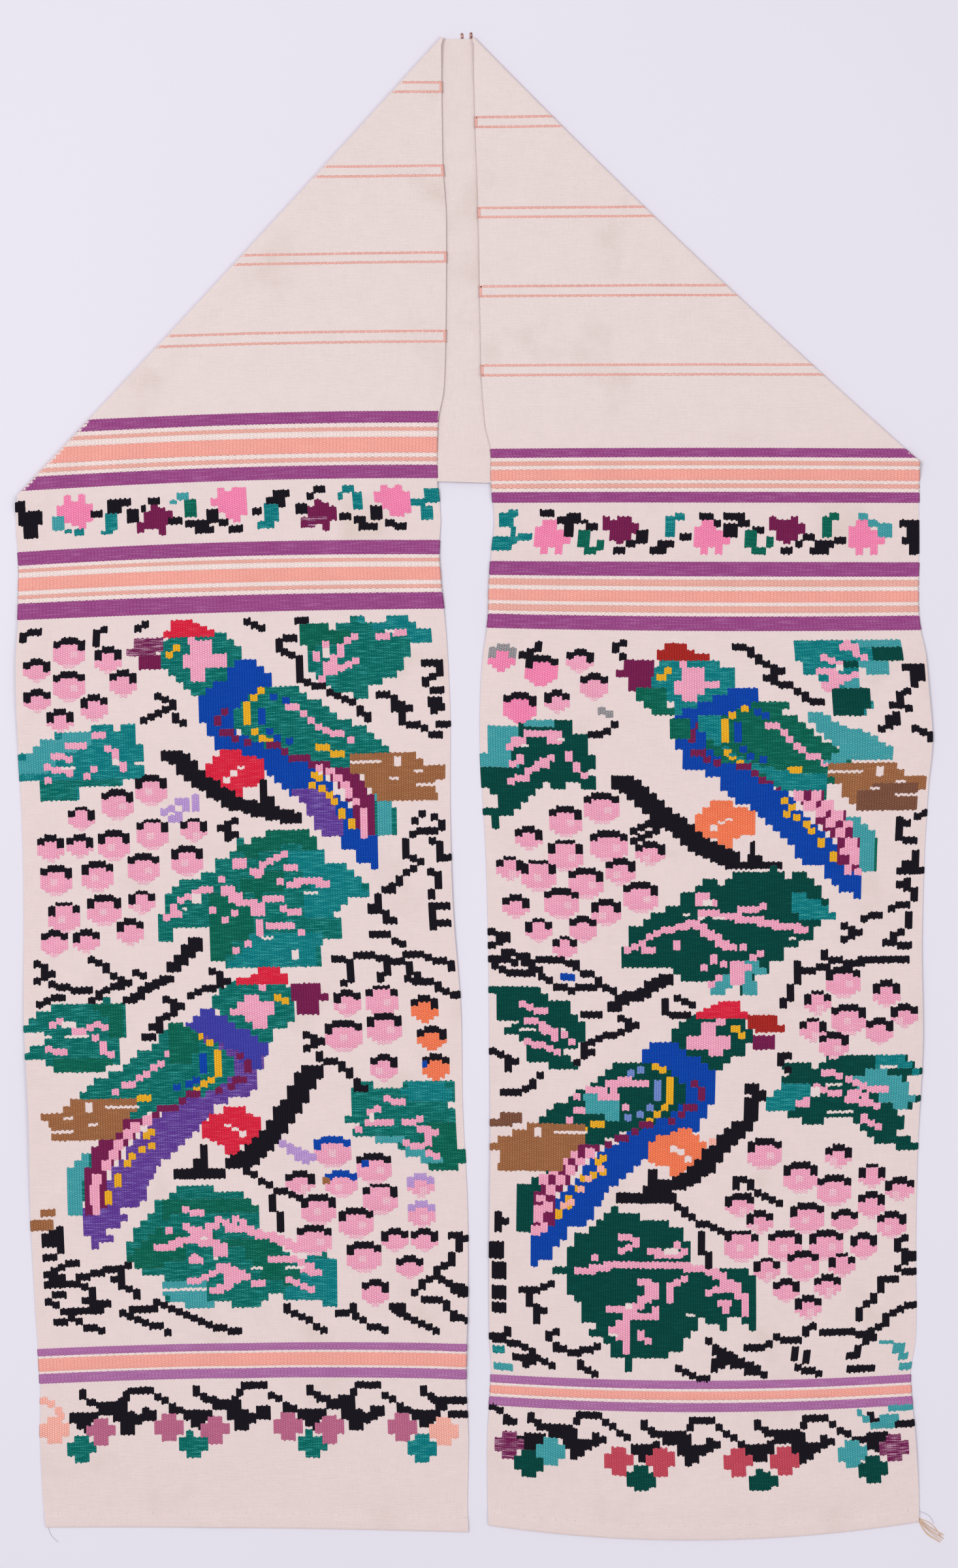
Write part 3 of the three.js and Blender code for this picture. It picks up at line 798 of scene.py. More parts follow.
band_ribs = {}
for leg, table in ((LEFT, LEFT_STRIPES), (RIGHT, RIGHT_STRIPES)):
    for yarn, ribs in stripe_ribs(leg, table).items():
        band_ribs.setdefault(yarn, []).extend(ribs)
print("ribs in the stripes:", sum(len(ribs) for ribs in band_ribs.values()))

# %% [markdown]
# ## The chart
# A weaver plans such figures on squared paper. `Chart` is that paper for one leg: it has 176 ribs
# across, three of them to a cell, and two steps to a row. Every square holds the number of a yarn.
# A figure is a few points in columns and rows. `fill` colours the inside of an outline in steps a
# cell wide, `draw` follows a line with one block a cell as a twig is woven, and `blocks` sets plain
# rectangles.

# %% The weaver's squared paper
TOP_ROW, LAST_ROW = -19, 125
CHART_RIBS = 176
MEET = 0.5
RAGGED, UNEVEN = 0.45, 0.35
RIBS_A_CELL = 3
STEPS_A_ROW = 2
YARN_NAMES = list(YARNS)


def numbers(text, wide):
    return np.array(text.split(), float).reshape(-1, wide)


def rib_at(column):
    return int(round(column * CHART_RIBS / COLUMNS))


def by_cells(rib, first):
    """The rib moved to a whole number of cells from a first rib."""
    return first + round((rib - first) / RIBS_A_CELL) * RIBS_A_CELL


def as_drawn(points):
    """Leaves a figure where its own points put it."""
    return points


def moved(column, row):
    return lambda points: points + (column, row)


def mirrored(column, row):
    return lambda points: np.stack([column - points[:, 0], points[:, 1] + row], -1)


class Chart:
    """Squared paper for one leg, and the ways of colouring its squares."""

    def __init__(self, leg):
        self.leg = leg
        rows = (LAST_ROW - TOP_ROW) * STEPS_A_ROW
        self.squares = np.full((rows, CHART_RIBS), -1)
        self.place = as_drawn

    def bar(self, yarn, first, last, top, bottom):
        """Colours one rectangle, from a first rib to a last rib and between two rows."""
        rows = [round((row - TOP_ROW) * STEPS_A_ROW) for row in (top, bottom)]
        number = YARN_NAMES.index(yarn) if yarn else -1
        self.squares[max(rows[0], 0):max(rows[1], 0), max(first, 0):max(last, 0)] = number

    def fill(self, yarn, outline, step=1.0):
        """Colours the inside of an outline, in steps a cell wide."""
        points = self.place(numbers(outline, 2))
        ends = np.roll(points, -1, axis=0)
        base = rib_at(points[:, 0].min())
        first = math.floor(points[:, 1].min() / step) * step
        for i in range(math.ceil((points[:, 1].max() - first) / step)):
            middle = first + (i + 0.5) * step
            crossing = (points[:, 1] <= middle) != (ends[:, 1] <= middle)
            if not crossing.any():
                continue
            start, end = points[crossing], ends[crossing]
            share = (middle - start[:, 1]) / (end[:, 1] - start[:, 1])
            columns = np.sort(start[:, 0] + (end[:, 0] - start[:, 0]) * share)
            ribs = [by_cells(rib_at(column), base) for column in columns]
            for left, right in zip(ribs[::2], ribs[1::2]):
                self.bar(yarn, left, right, middle - step / 2, middle + step / 2)

    def draw(self, yarn, lines, cells=1, tall=1.0):
        """Follows each line with a block in each cell it passes. An upright stroke parts lines."""
        for line in lines.split("|"):
            points = self.place(numbers(line, 2))
            if len(points) == 1:
                points = np.repeat(points, 2, axis=0)
            along = np.linspace(0, len(points) - 1, (len(points) - 1) * 20 + 1)
            columns = np.interp(along, range(len(points)), points[:, 0])
            rows = np.interp(along, range(len(points)), points[:, 1])
            half = cells * RIBS_A_CELL / 2
            base = round(columns[0] * CHART_RIBS / COLUMNS - half)
            firsts = [by_cells(round(column * CHART_RIBS / COLUMNS - half), base) for column in columns]
            turns = [0, *(np.flatnonzero(np.diff(firsts)) + 1), len(firsts)]
            for start, end in zip(turns[:-1], turns[1:]):
                low, high = rows[start:end].min(), rows[start:end].max()
                height = max(tall, high - low + 0.35 * tall)
                top = round(((low + high - height) / 2) * STEPS_A_ROW) / STEPS_A_ROW
                height = round(height * STEPS_A_ROW) / STEPS_A_ROW
                wide = cells * RIBS_A_CELL
                self.bar(yarn, firsts[start], firsts[start] + wide, top, top + height)

    def blocks(self, yarn, table):
        """Rectangles: left and right column, top and bottom row."""
        for left, right, top, bottom in numbers(table, 4):
            corners = self.place(np.array([(left, top), (right, bottom)]))
            (left, top), (right, bottom) = np.sort(corners, axis=0)
            self.bar(yarn, rib_at(left), rib_at(right), top, bottom)

    def height(self, step):
        """How far up the leg a step of the chart begins."""
        return self.leg.first_row - (TOP_ROW + step / STEPS_A_ROW) * ROW

    def ribs(self):
        """Each column's runs of one colour, as ribs by yarn."""
        found = {}
        height, width = self.squares.shape
        wide = COLUMNS / CHART_RIBS
        ragged = chance.uniform(-RAGGED, RAGGED, (width, height + 1))
        ragged += np.where(np.arange(width) % 2, UNEVEN, -UNEVEN)[:, None]
        for i in range(width):
            column = self.squares[:, i]
            edges = np.flatnonzero(np.diff(column)) + 1
            for start, end in zip([0, *edges], [*edges, height]):
                if column[start] < 0:
                    continue
                high = self.height(start) + ragged[i, start] + MEET
                low = self.height(end) + ragged[i, end] - MEET
                rib = Rib(self.leg, (i + 0.5) * wide, wide, low, high, i)
                found.setdefault(YARN_NAMES[column[start]], []).append(rib)
        return found


left, right = Chart(LEFT), Chart(RIGHT)
print("chart squares a leg:", left.squares.size)

# %% [markdown]
# ## Birds
# All four birds are one traditional figure: a crested head with a split beak, a body that sweeps
# down in a belly band to a long chequered tail, a folded wing with dotted bars, and a second brown
# tail. It is drawn once, facing left. A `place` function moves or mirrors it, and each bird gets its
# own yarns, so two birds look left and two look right as on the towel. A bird is also bent a
# little: it moves by different amounts at five heights, as it does when rows are beaten unevenly.

# %% The bird figure
Bird = namedtuple("Bird", "place crest beak beak_low head neck belly tail_band wing edge spots bar")


def draw_bird(chart, bird):
    chart.place = bird.place
    chart.fill(bird.belly, "23.5 11.2 24.4 10 29 9 33 9.6 33 11 30 12.4 28.2 14.4 28 17 30 18.6 33 19.8"
               " 36 21.4 38.6 22.8 40 25 43 28.8 45.6 32.8 46.6 33.2 46.8 38 45.8 38 45.6 37 43.8 36.6"
               " 43.8 35.4 41.5 34.6 41.4 33 39.6 31.6 38 29.6 37 27.8 35.4 26.6 34 25.2 32.2 24.2 31.2"
               " 22.8 30.2 21.4 28.4 20.4 26.2 20.2 25.2 18.8 24.4 16.8 23.5 14.2")
    chart.fill(bird.tail_band, "35.4 25.6 37.4 25.6 40.3 26.4 41.4 29 42 32.6 39 32.6 38 30.2 37 28.2"
               " 35.4 26.8")
    chart.fill(bird.neck, "23.5 11.4 26.6 9.6 27.4 8.2 29.5 7 31 7 32 8 33 9.5 33 11 31.4 11.4 30 12"
               " 28.6 13.4 27 13.6 26.2 16 24.4 16 23.5 14")
    chart.fill(bird.wing, "28 15 29.2 13.2 31 12 32 10.6 36.7 10.6 37 12.4 39.2 13.4 41 15.2 42.6 16.2"
               " 45 17.2 46 18.3 47.3 19.4 48.5 20.4 48.5 21 44 21.4 43.4 23 44.2 25.4 46.4 27.4 48.6"
               " 28.6 48.6 33.4 46.2 33.4 46 29 43.6 27 42 24 39 22 36 21 33 20 29.4 18.4 28 17")
    chart.fill(bird.edge, "45.5 26.6 47 26.6 48.6 28 48.6 33.5 46.3 33.5 46.2 28.6")
    chart.fill("plum", "38.6 22.4 43 22.6 43.6 24.2 45.2 25.6 46.3 28.8 46.3 33.4 44 33.4 43.4 29 42"
               " 26.6 40.4 24.2")
    for column, row in numbers(bird.spots, 2):
        chart.blocks("pink", f"{column} {column + 1.1} {row} {row + 1.2}")
    chart.draw("yellow", "31.6 11.4|30.6 12.5|29.7 13.4 29.7 16.6|30.6 17.5|31.5 18.2|32.5 19", 1, 0.9)
    chart.draw(bird.bar, "31.5 14 31.5 16.4|32.5 17.4|33.6 18.2|33.4 12.2|34.8 12.8|35.2 18.7", 1, 0.8)
    chart.draw("plum", "26.8 14.3|25.8 15 25.8 16.4|26.6 17.5 27.6 17.5|28.2 18.4|29.6 19|32.6 19.6"
               " 33.6 19.6|34.5 20.4|35.6 21.3 37 21.3|38 22.2", 1, 0.9)
    chart.draw("pink", "35.2 14 36.2 14|37.2 15|38 15.9|39 16.7|40 17.3|41 18 42 18|43 19", 1, 0.8)
    chart.draw("yellow", "39 19.8 40.2 19.8|41 20.7 42.2 20.7|38.2 24|39 24.6|38 25.6|39.3 26|40.4 26.8"
               "|41 27.8|42 28.9 42 30.2|43 30.8 43 32", 1, 0.8)
    chart.fill(bird.head, "19.4 3.2 27 3.2 28.2 4.4 29.2 5.2 29.2 6.8 28 8 27 9.6 24.6 11 24 12.4 22.6 12.4"
               " 22.4 10.8 20.6 9.8 19.2 8.2 18.8 6")
    chart.fill("pink", "23 4.5 25.2 4.5 25.4 6 27.2 6.6 27.2 7.6 25 7.8 24.6 10 23.4 10 22.3 8.8 21.5 7.4"
               " 21.5 6.2 23 6")
    chart.blocks("pink", "22.2 23.2 3.5 4.4")
    chart.blocks("yellow", "20.3 21.3 4.6 5.6 19.5 20.5 5.5 6.4")
    chart.fill(bird.crest, "19.2 3.4 19.8 2.2 20.5 1 23 1 24 2 26 2.6 26 3.4", 0.5)
    chart.fill(bird.beak, "15.2 3.3 19.2 3.3 18.6 5.8 14.2 5.8 14.2 4.9 15.2 4.8", 0.5)
    chart.fill(bird.beak_low, "16 6 18.6 6 18.6 8 16 8", 0.5)
    chart.place = as_drawn


# %% [markdown]
# ## Brown tails, flowers and branches
# Beside each bird are a feathery brown second tail, a four-lobed flower and a black branch with a
# spur. They follow the same idea: one outline each, placed, mirrored and recoloured.

# %% Second tail, flower and branch
def draw_brown_tail(chart, place, low="brown"):
    chart.place = place
    chart.fill("brown", "43.4 22.4 46 21.8 50.6 22 52.6 22.6 52.8 23.8 56 24.4 56 25.4 54.4 26.4 54.6 28.6"
               " 47 28.6 46 27 45.2 25.6 44 24.6")
    chart.fill(low, "47 26.4 49.4 25.4 54.4 25 54.6 28.6 47 28.6")
    chart.blocks(None, "43.4 47.6 23 23.5 49.2 50.2 22.5 24 51.8 53.2 24.6 25 48.6 50 25.6 26 52 54.6"
                 " 26.6 27")
    chart.place = as_drawn


def draw_flower(chart, yarn, place):
    chart.place = place
    chart.fill(yarn, "-1.6 -3.5 0.3 -3.5 1.2 -2.4 3 -2.2 3.8 -1 4 0.6 3 1.8 1.2 2.2 1 3.6 -0.8 3.6 -1.2 2.4"
               " -3 2 -4 0.6 -3.8 -0.8 -2.8 -2.2 -1.8 -2.4", 0.5)
    chart.blocks(None, "0 1 -1 -0.2 -0.9 0.1 -0.3 0.4 -1.9 -0.9 0.4 1.4")
    chart.place = as_drawn


BIRD_HEIGHTS = (8, 13, 22, 32, 38)


def bird_at(columns, rows, flip=False):
    """Moves a bird by amounts that change at five heights down its body, and turns it if asked."""
    def place(points):
        across = np.interp(points[:, 1], BIRD_HEIGHTS, columns)
        down = np.interp(points[:, 1], BIRD_HEIGHTS, rows)
        return np.stack([across + points[:, 0] * (-1 if flip else 1), points[:, 1] + down], -1)
    return place


LOOSE_SPOTS = ("38.5 22.3 39.8 23 40.8 23.9 41.8 25 42.2 26.2 43.2 27.4 44.2 28.8 44.2 30 44.2 31.2"
               " 44.2 32.2")
CHEQUERED = ("39.6 22.8 41.8 22.8 40.7 23.9 42.9 23.9 41.8 25 43.9 25.2 42.8 26.2 45 26.4 43.9 27.6"
             " 45 28.8 43.9 30 45.3 30.2 45 31.4 44.2 32.6 45.4 33")
PLACES = (
    moved(0, 0),
    bird_at((53.5, 54.4, 54.4, 52.9, 54.4), (51.2, 50.5, 51.2, 54.0, 55.5), True),
    bird_at((2.6, 0.7, -0.6, 1.6, 1.2), (0.6, -0.9, 0.3, 1.6, 1.3)),
    bird_at((52.6, 53.2, 53.4, 51.9, 52.3), (52.9, 51.5, 52.6, 54.0, 55.2), True),
)
BIRDS = (
    (left, Bird(PLACES[0], "red", "streaked_plum", "plum", "leaf_green", "blue", "blue", "violet",
                "leaf_green", "light_teal", LOOSE_SPOTS, "blue")),
    (left, Bird(PLACES[1], "red", "plum", "plum", "leaf_green", "violet_blue", "violet", "violet",
                "leaf_green", "light_teal", LOOSE_SPOTS, "blue")),
    (right, Bird(PLACES[2], "brick", "plum", "plum", "teal", "blue", "blue", "blue",
                 "dark_green", "light_teal", CHEQUERED, "blue")),
    (right, Bird(PLACES[3], "red", "brick", "plum", "deep_green", "blue", "blue", "blue",
                 "deep_green", "deep_green", CHEQUERED, "periwinkle")),
)
for chart, bird in BIRDS:
    draw_bird(chart, bird)
left.fill("dark_green", "19 59.6 22 61.4 22.6 63.4 21 66 18.4 66 18.4 63", 0.5)
right.fill("light_teal", "40.6 11.6 42.6 11.6 44 13 47 14.2 50.6 16.2 51.8 18.6 43 18.8 44.4 17 41.6 14",
           0.5)
right.fill("dark_green", "19.4 8.4 23 8.4 23.6 10.4 24 12.4 22.4 12.2 20 10.4")
right.blocks("dark_green", "23.6 26.2 12.4 15.4")
right.fill("teal", "27.2 12 29.6 12 29.8 16 31.4 17.4 33 18.4 35 19.4 38.6 20.4 42.8 20.4 42.8 23 37.6 23"
           " 36.4 21.8 34.8 20.4 33.2 19 31.2 17.8 29.4 16.4 28 15.2 27.2 14.4", 0.5)
right.blocks("light_teal", "12 16.4 67.4 68.6 12.4 17 68.6 70.4 15 17 70.4 71.4")
right.draw("pink", "15.4 66 17.4 65.8 19.8 66.2|13 67 14.6 67|14.6 68.2 16.4 68.2|11.4 68.2|17.6 69.4")
right.draw("peach", "14.4 78.4|12.9 79.8|11.8 81.4|10.6 83 9.8 84.6")
right.blocks("dark_brown", "1.4 4 70.6 71.8 0 3 71.6 72.6")
draw_brown_tail(left, moved(-0.6, -1.0))
draw_brown_tail(left, mirrored(57.6, 48.8))
draw_brown_tail(right, moved(0.0, -2.9), "dark_brown")
draw_brown_tail(right, mirrored(56.0, 50.2))
draw_flower(left, "red", moved(28.2, 23.4))
draw_flower(left, "red", mirrored(26.2, 75.8))
draw_flower(right, "orange", moved(30.6, 27.8))
draw_flower(right, "orange", mirrored(24.6, 76.0))
left.draw("black", "19.9 20.4 21.5 21.9 22.3 23.1 23.1 24.2 24.2 25.1 25.6 26.1 27 27.3 28.7 28.3 31.4"
          " 29.2 34 29.8 35.4 30.2", 3, 1.6)
left.blocks("black", "31.3 32.2 24.7 28 31.3 33.1 26.8 28.5")
left.draw("black", "36.6 66.8 36.2 68.2 35.3 69.7 34.8 71.1 33.8 72.4 33 73.6 32.3 75.2 31.7 76.2 30.4 77.5"
          " 29.2 78.8 27.6 80.2", 3, 1.8)
left.blocks("black", "25 27.8 80 81.7 21 23 80 82 22 22.9 77.8 80.2 18.3 25.2 81.6 83")
right.draw("black", "17.8 21.5 19 23 20.4 24.4 21.6 25.6 22.6 26.6 23.6 27.6 25 28.6 25.8 29.8 27.2"
           " 30.8 28.9 32 30.8 33", 3, 1.8)
right.blocks("black", "30.4 38 33.4 34.6 33.6 34.5 30.4 33.4 33.4 35.4 32.4 33.5")
right.draw("black", "34.2 66.4 34.7 67.8 34 69.6 33.6 71.2", 2, 1.6)
right.draw("black", "32.9 72 32.3 73.2 31 74.6 29.6 75.7 28.7 76.9 27.6 78.6 25.9 79.8 23.8 80.8 21.8"
           " 81.8", 3, 1.6)
right.blocks("black", "16.5 24.4 82 83.6 20.8 21.8 78.3 81")
print("squares filled after the birds:", int((left.squares >= 0).sum() + (right.squares >= 0).sum()))

# %% [markdown]
# ## Vine leaves
# Six broad leaves on each leg, each a jagged green outline with pink veins that branch across it
# and a few open spots of ground. The outline is filled first, then patches of a second green, then
# the veins over both.

# %% A leaf from its outline, patches, veins and open spots
def draw_leaf(chart, yarn, outline, patches=(), veins="", wide_veins="", open_spots="", shift=(0, 0)):
    chart.place = moved(*shift)
    chart.fill(yarn, outline)
    for patch_yarn, patch in patches:
        chart.fill(patch_yarn, patch)
    if veins:
        chart.draw("pink", veins)
    if wide_veins:
        chart.draw("pink", wide_veins, 2)
    if open_spots:
        chart.blocks(None, open_spots)
    chart.place = as_drawn


draw_leaf(left, "leaf_green",
          "37 2.4 38 1.8 39.6 1.8 40.4 2.6 42 2.6 43.6 1.2 45 1.2 45.6 2.4 47 2 48.6 1.2 51.4 1.2 52 3"
          " 54.3 3 54.3 5.2 51.6 5.4 51.5 6.5 50.3 6.8 50.2 8.6 49.5 9.6 47.6 10 47.4 11 46 11.4 45"
          " 12.6 42.6 12.4 41 11.4 40 10.8 38.6 9.8 37.8 8.4 37.8 5.4 36.8 5",
          [("dark_green", "37 2.4 40.6 2.2 42 3 44 3.4 43 5 38.4 5.6 37 4.6"),
           ("teal", "43.6 1.2 45 1.2 45.6 2.4 44.6 3 41.6 4 47 2 48.6 1.2 51.4 1.2 52 3 54.3 3 54.3 5"
            " 51 4.4 47 2.8")],
          "39.1 6 39.1 7.2|40.1 5.1|44.2 3.5 43.5 4.4 42.3 5.2 41.8 6 41.6 7.2|41.2 8.2 43 8.4 44.4 7.5"
          "|39.6 9.8|47.4 4 48.6 4|49.4 3.5 50.4 3.5", "40.6 7.6 40.6 9", "39.8 40.7 5.6 7 48 49.4 3 3.5")
draw_leaf(left, "teal",
          "13.8 16 14 15 14.6 15 14.8 16 15.6 16.2 15.6 19 16.5 19.2 16.5 21 15.8 22 16.4 22.4 16.4 23.6"
          " 13 24.2 12.8 25.3 7.4 25.5 7.2 26.6 2.4 26.6 2.4 24.4 0 24.2 0 20.8 1 20 2 19 4 17.8 6.5 17"
          " 9.6 16.8 9.8 16.2 12 16.2 12.6 16.8",
          [("light_teal", "0 21.2 1.2 20 3 18 9 17 9.6 19 6 20 5 21.4 3 23 0 23.4"),
           ("leaf_green", "2.4 24 12.8 24 12.8 25.3 7.4 25.5 7.2 26.6 2.4 26.6")],
          "9.9 17.8 10.6 17.6|6.4 19.2 8 19.2|4.6 20.4 6.4 21|3.6 22.1 5.4 22.4 6.6 23|11.6 19.2 12.6"
          " 20.4 13 21.4 14 22.4|9.8 22.4|8.8 23.6|3.6 24",
          "", "12 13 20.8 22 5.4 7.2 21.8 22.3 14.8 16.4 21.6 22.2")
draw_leaf(left, "leaf_green",
          "33 31.6 34 31.6 35.2 32.4 35.4 34.2 36.8 34.2 36.8 32.8 38.6 32.8 38.8 34.6 39.5 36 39.5"
          " 37.2 42 37.4 42 38.6 44 38.8 44 39.8 45 40 45 41.8 41.4 42 41.2 43 40.4 43.2 40.4 45 41.3"
          " 45.8 41.3 48 39.4 47.6 38.4 48.8 38.2 51.6 34.6 51.4 33.8 51 32 51.7 26.4 51.7 26.3 50.4"
          " 24.4 50.8 24.3 46.4 22.6 46.2 19.2 46.2 19 47.6 17.5 47.6 17.5 44.4 18.6 43 18.6 40.6 20"
          " 40.4 20.2 39.4 23 39.2 23.2 38.2 25.3 38 25.3 36 27 35.8 28 34.6 28.2 33.4 29.2 33.4 29.4"
          " 34.4 31.6 34.2 31.8 32.4",
          [("dark_green", "24.3 41 27 40 29.8 42 29.6 47.7 26.6 48 26.6 50.4 24.4 50.8"),
           ("dark_green", "28 34.6 31.8 32.4 34 31.6 38.6 32.8 38.8 34.6 33.6 34.4 29.4 36"),
           ("dark_green", "28.4 38.6 34 38.4 34.6 41 30 41.6 28.6 40.6"),
           ("teal", "35 34.8 38.8 34.6 39.5 37.2 42 37.4 44 38.8 45 41.8 41.2 43 40.4 45 37 44.8 36.6"
            " 42 38 40 34.6 37"),
           ("teal", "30 47 38.4 47.4 38.2 51.6 26.4 51.7 28 50")],
          "30.6 38.4 30.6 39.2|31.4 37.4 33 36 34.6 35.6|34.4 37.6 35.8 37.6|33.6 39.4|26 39.2|24.2"
          " 40.2 22 41.2 20.2 42.4 19.4 43.8 18.9 44.6|20.2 44|24.6 43.4|27.6 44|26.4 45.2|30.8 45 30.8"
          " 47|32 46.2 34.8 46.2|36 47.2|33.8 43.2 35.4 44.2|31.8 42.2 33.6 42|29 48.4|27.6 49.6",
          "28.2 36.4 28.4 37.6|30.4 38.2|35.4 39.8 37.6 39.4 39.4 40.4|26.6 40 27.4 41.2 28.4 42.4 30.6"
          " 43 31 44.4",
          "22 23.3 41 42.4 34.6 35.5 49.6 50.8 31 32.6 47.4 47.9 36.6 38.4 40.8 41.4 20.6 21.4 43 43.6")
draw_leaf(left, "leaf_green",
          "10.4 57 11 56.6 11.8 57.4 13.4 57.8 13.4 62 12.8 63 12.8 66 10.8 66.6 10.2 67.4 4.2 67.4 3.6"
          " 66.4 2.4 65.6 0.6 65.2 0.4 64.2 2 63.8 3.2 62.6 3 61.6 0.6 61.2 0.2 60.4 2 59.8 2 59 4 58.4"
          " 4.4 57.8 8.4 57.6 9.6 57.2",
          [("dark_green", "10.4 57 13.4 57.8 13.4 62 12.8 63 11.4 63 11.2 59.6 9.6 58.4"),
           ("dark_green", "4.2 66 12.8 65 10.2 67.4 4.4 67.4")],
          "4.2 61 5 60|7.2 61.6 9.2 61.4 9.9 60 10.8 61|9.8 62.4 10.4 63.8 11.2 64.8|3.6 63.9 5.4 64.8", "",
          "5.4 7.2 60.2 60.8 5.8 8.8 62 62.5 1.8 4 62 62.5", shift=(-0.6, -0.5))
draw_leaf(left, "leaf_green",
          "43.4 70 44 69.6 45 70.2 47.2 70.2 47.8 69.8 48.6 70.4 49.6 69.4 50.6 69 53 69.6 55.4 70 55.4 71"
          " 54.8 72.8 55.2 73.6 55 78 56 79.4 56 81.6 55 82.8 52 83 51.6 82 50.6 80.8 49 80.4 48.2 79.4"
          " 48.2 77.4 46 78.4 45 77.6 42 77.6 42 77 43.2 76.2 41.4 75.2 41 74.4 42.4 73.6 42.2 71 43 70.6",
          [("dark_green", "52 76 55 75 56 79.4 56 81.6 55 82.8 52 83 51.6 82 50.6 79"),
           ("teal", "49.6 69.4 53 69.4 55.4 70.4 54.8 73 50 73 48.6 71.4"),
           ("light_teal", "44 77.4 48 77 51 79.6 53.4 81 52 82 50.6 80.8 48.6 80 48 78 46 78.4")],
          "46.8 71.6 47.2 72.4 48.4 72.4|44.6 74 45.8 73.2|44 75.6 46.6 75.4|42.8 76.4|49 75.4 50.6"
          " 75.2|50.8 76.4 52.4 76.8 51.6 78 51 79.2 52.6 80.8|49 78.6 50.4 79",
          "", "44.4 45 74.2 75.4", shift=(-0.4, -0.5))
draw_leaf(left, "leaf_green",
          "20.4 84 21 83.2 21.6 84 22.6 84.4 24.8 85 26.4 85.6 27 85 27.6 85.8 29 87 29.4 88.6 29.2 90"
          " 30 91.4 32.4 92.4 32.2 94 33.4 95 35.4 96 36 94.6 38 94.4 39.4 95.2 39.4 99 39.2 102 38.6"
          " 101.4 35.8 101 33 101 31.8 100.2 30.6 100.6 30 101.8 26.6 102 25.6 101 23.4 101.2 23.2 102"
          " 20.6 102 20 101 17.6 100.8 16.8 100 16.8 97.6 15.4 97.4 14.6 96.4 14.4 95.6 13 95 12.4 93.4"
          " 13 92 14 91.4 13.8 90 15 89 16.2 88.2 16.8 86.4 17.6 85.8 19.2 85",
          [("dark_green", "17 86 29 86.4 29.4 88 19 88 15 92 12.6 95 14.6 96.4 20 95 20 91 24 92 32.4"
            " 92.4 33 95 35.6 97 34 99 30 98 27.6 93.6 25.6 93.4 24 91.4 17 91"),
           ("teal", "36 94.6 39.4 95.2 39.2 102 33 101 31.8 100.2 35 98 35.8 96"),
           ("light_teal", "17 98 23 98.4 23.2 102 20.6 102 17.6 100.8")],
          "20.4 87.4 20.8 88.2 22.6 88.2|18 90.6|26.8 89 27.4 90|24.4 89.2 26 90.2|16.6 93.2 18.6 93 20"
          " 92.2 22 91.2 20.6 90|21.2 94.4 21.6 95.6|24.4 96.4 23.4 97.6 20.6 98.2|25.6 98 27 97.6 26"
          " 98.8 24.4 99.4|29 98.4 30 99|33.4 98.2 34.6 99 35.8 99.8|31 95 33.4 95.2 35.8 96.2",
          "26.2 90.4 28.4 91 31 91.8 33.4 93 35.4 93.8|35.8 95.8 36.2 97|23.6 90 22.4 91.8 20 92.2 17.6"
          " 93.2|22.6 92.6 24.4 93 24.8 94.6|25 96 26.6 97 25.6 98.6 24 99.8|21.4 90.6|21.4 95.4|27.4"
          " 97.6",
          "23.6 24.4 94.8 95.4 22 23 91.8 92.4 28.4 30 96.2 96.7 17 22.6 99.4 99.8 33 35.4 96.4 96.8",
          shift=(-0.4, -0.2))
print("left leaves drawn")

# %% Leaves of the right leg
draw_leaf(right, "teal",
          "40 1 53.4 1 53.4 2 52 2.2 53.4 2.6 53.4 3.8 50.2 4.2 51.8 5 51.8 6 50 6.4 48.6 6.2 48 7 48.2"
          " 8 49 8.4 49.2 10.8 48.4 11.6 47.8 12.8 44.8 12.8 45 11.6 44.6 10 45 8.6 43.6 7.6 42.6 7 42"
          " 6 41 6 40.8 4 40 3.8",
          [("deep_green", "44.6 8 49 8.2 49.2 10.8 47.8 12.8 44.8 12.8"),
           ("deep_green", "45.6 4.2 48 4 48 5.6 45.4 5.6"),
            ("deep_green", "50 2.4 53.4 2.4 53.4 3.8 50.2 4.2"),
           ("light_teal", "48 1 53.4 1 53.4 2 48 2"), ("light_teal", "48 4.4 51.8 4.6 51.8 6 48.2 6.2"),
           ("light_teal", "46.2 6.8 48 6.6 48.2 8 46.4 8")],
          "46.8 1.6 47.8 2 47.4 3.4 49.2 3.6|43.6 3.8 45.4 4.8|44.6 7 47.4 6.4|44 8.2 45.2 7.6",
          "46.6 2.2|43.4 5.6 44.8 5.8|45 7.4 43.8 8", "45 46 4.6 6 48 49 5.2 6.2", shift=(-0.6, -0.3))
draw_leaf(right, "deep_green",
          "5.4 13 9 13 11.6 13.2 11.8 14.4 12.4 15 13.6 15.6 13.8 17.6 14.4 18.2 14.4 20 13.4 20.4 14 21.4"
          " 14.6 21.6 14.6 23 13.6 23.4 12.8 22.4 11 22.4 10.8 23 9 22.8 8.4 22 7.2 22.4 7 24 6 24.6 5 25.6"
          " 4.4 26.4 3.4 27 2.4 27.4 2.2 28.8 1.4 28.8 1.2 27.6 0.2 27.4 0.2 26.4 1.6 25.6 1.6 23.6 0 23.2"
          " 0 21 0.8 20 0 19.4 0 18 1 17.4 1.2 14.6 2 14 5 13.8",
          [("light_teal", "1 14.6 2 14 5 13.8 4.4 16 4 18 4.4 19.8 0 19.8 0 18 1 17.4"),
           ("light_teal", "5.4 13 9 13 9 14.4 5.4 14.4")],
          "6 14.9 9.4 15|5 18 4.4 19.4|8.6 18.2 8 19.2 7.2 19.8 6 20.8|11 17.8 11.6 19.4 12.8 21|5.6"
          " 21.2 4.4 21.8 3.4 22.2|4.6 16 3.8 17",
          "4.8 15.8|9.2 16.2|7.6 19.6", "5.2 6.2 16.4 17 9.6 10.4 15.6 16 0.4 2 19.9 20.2")
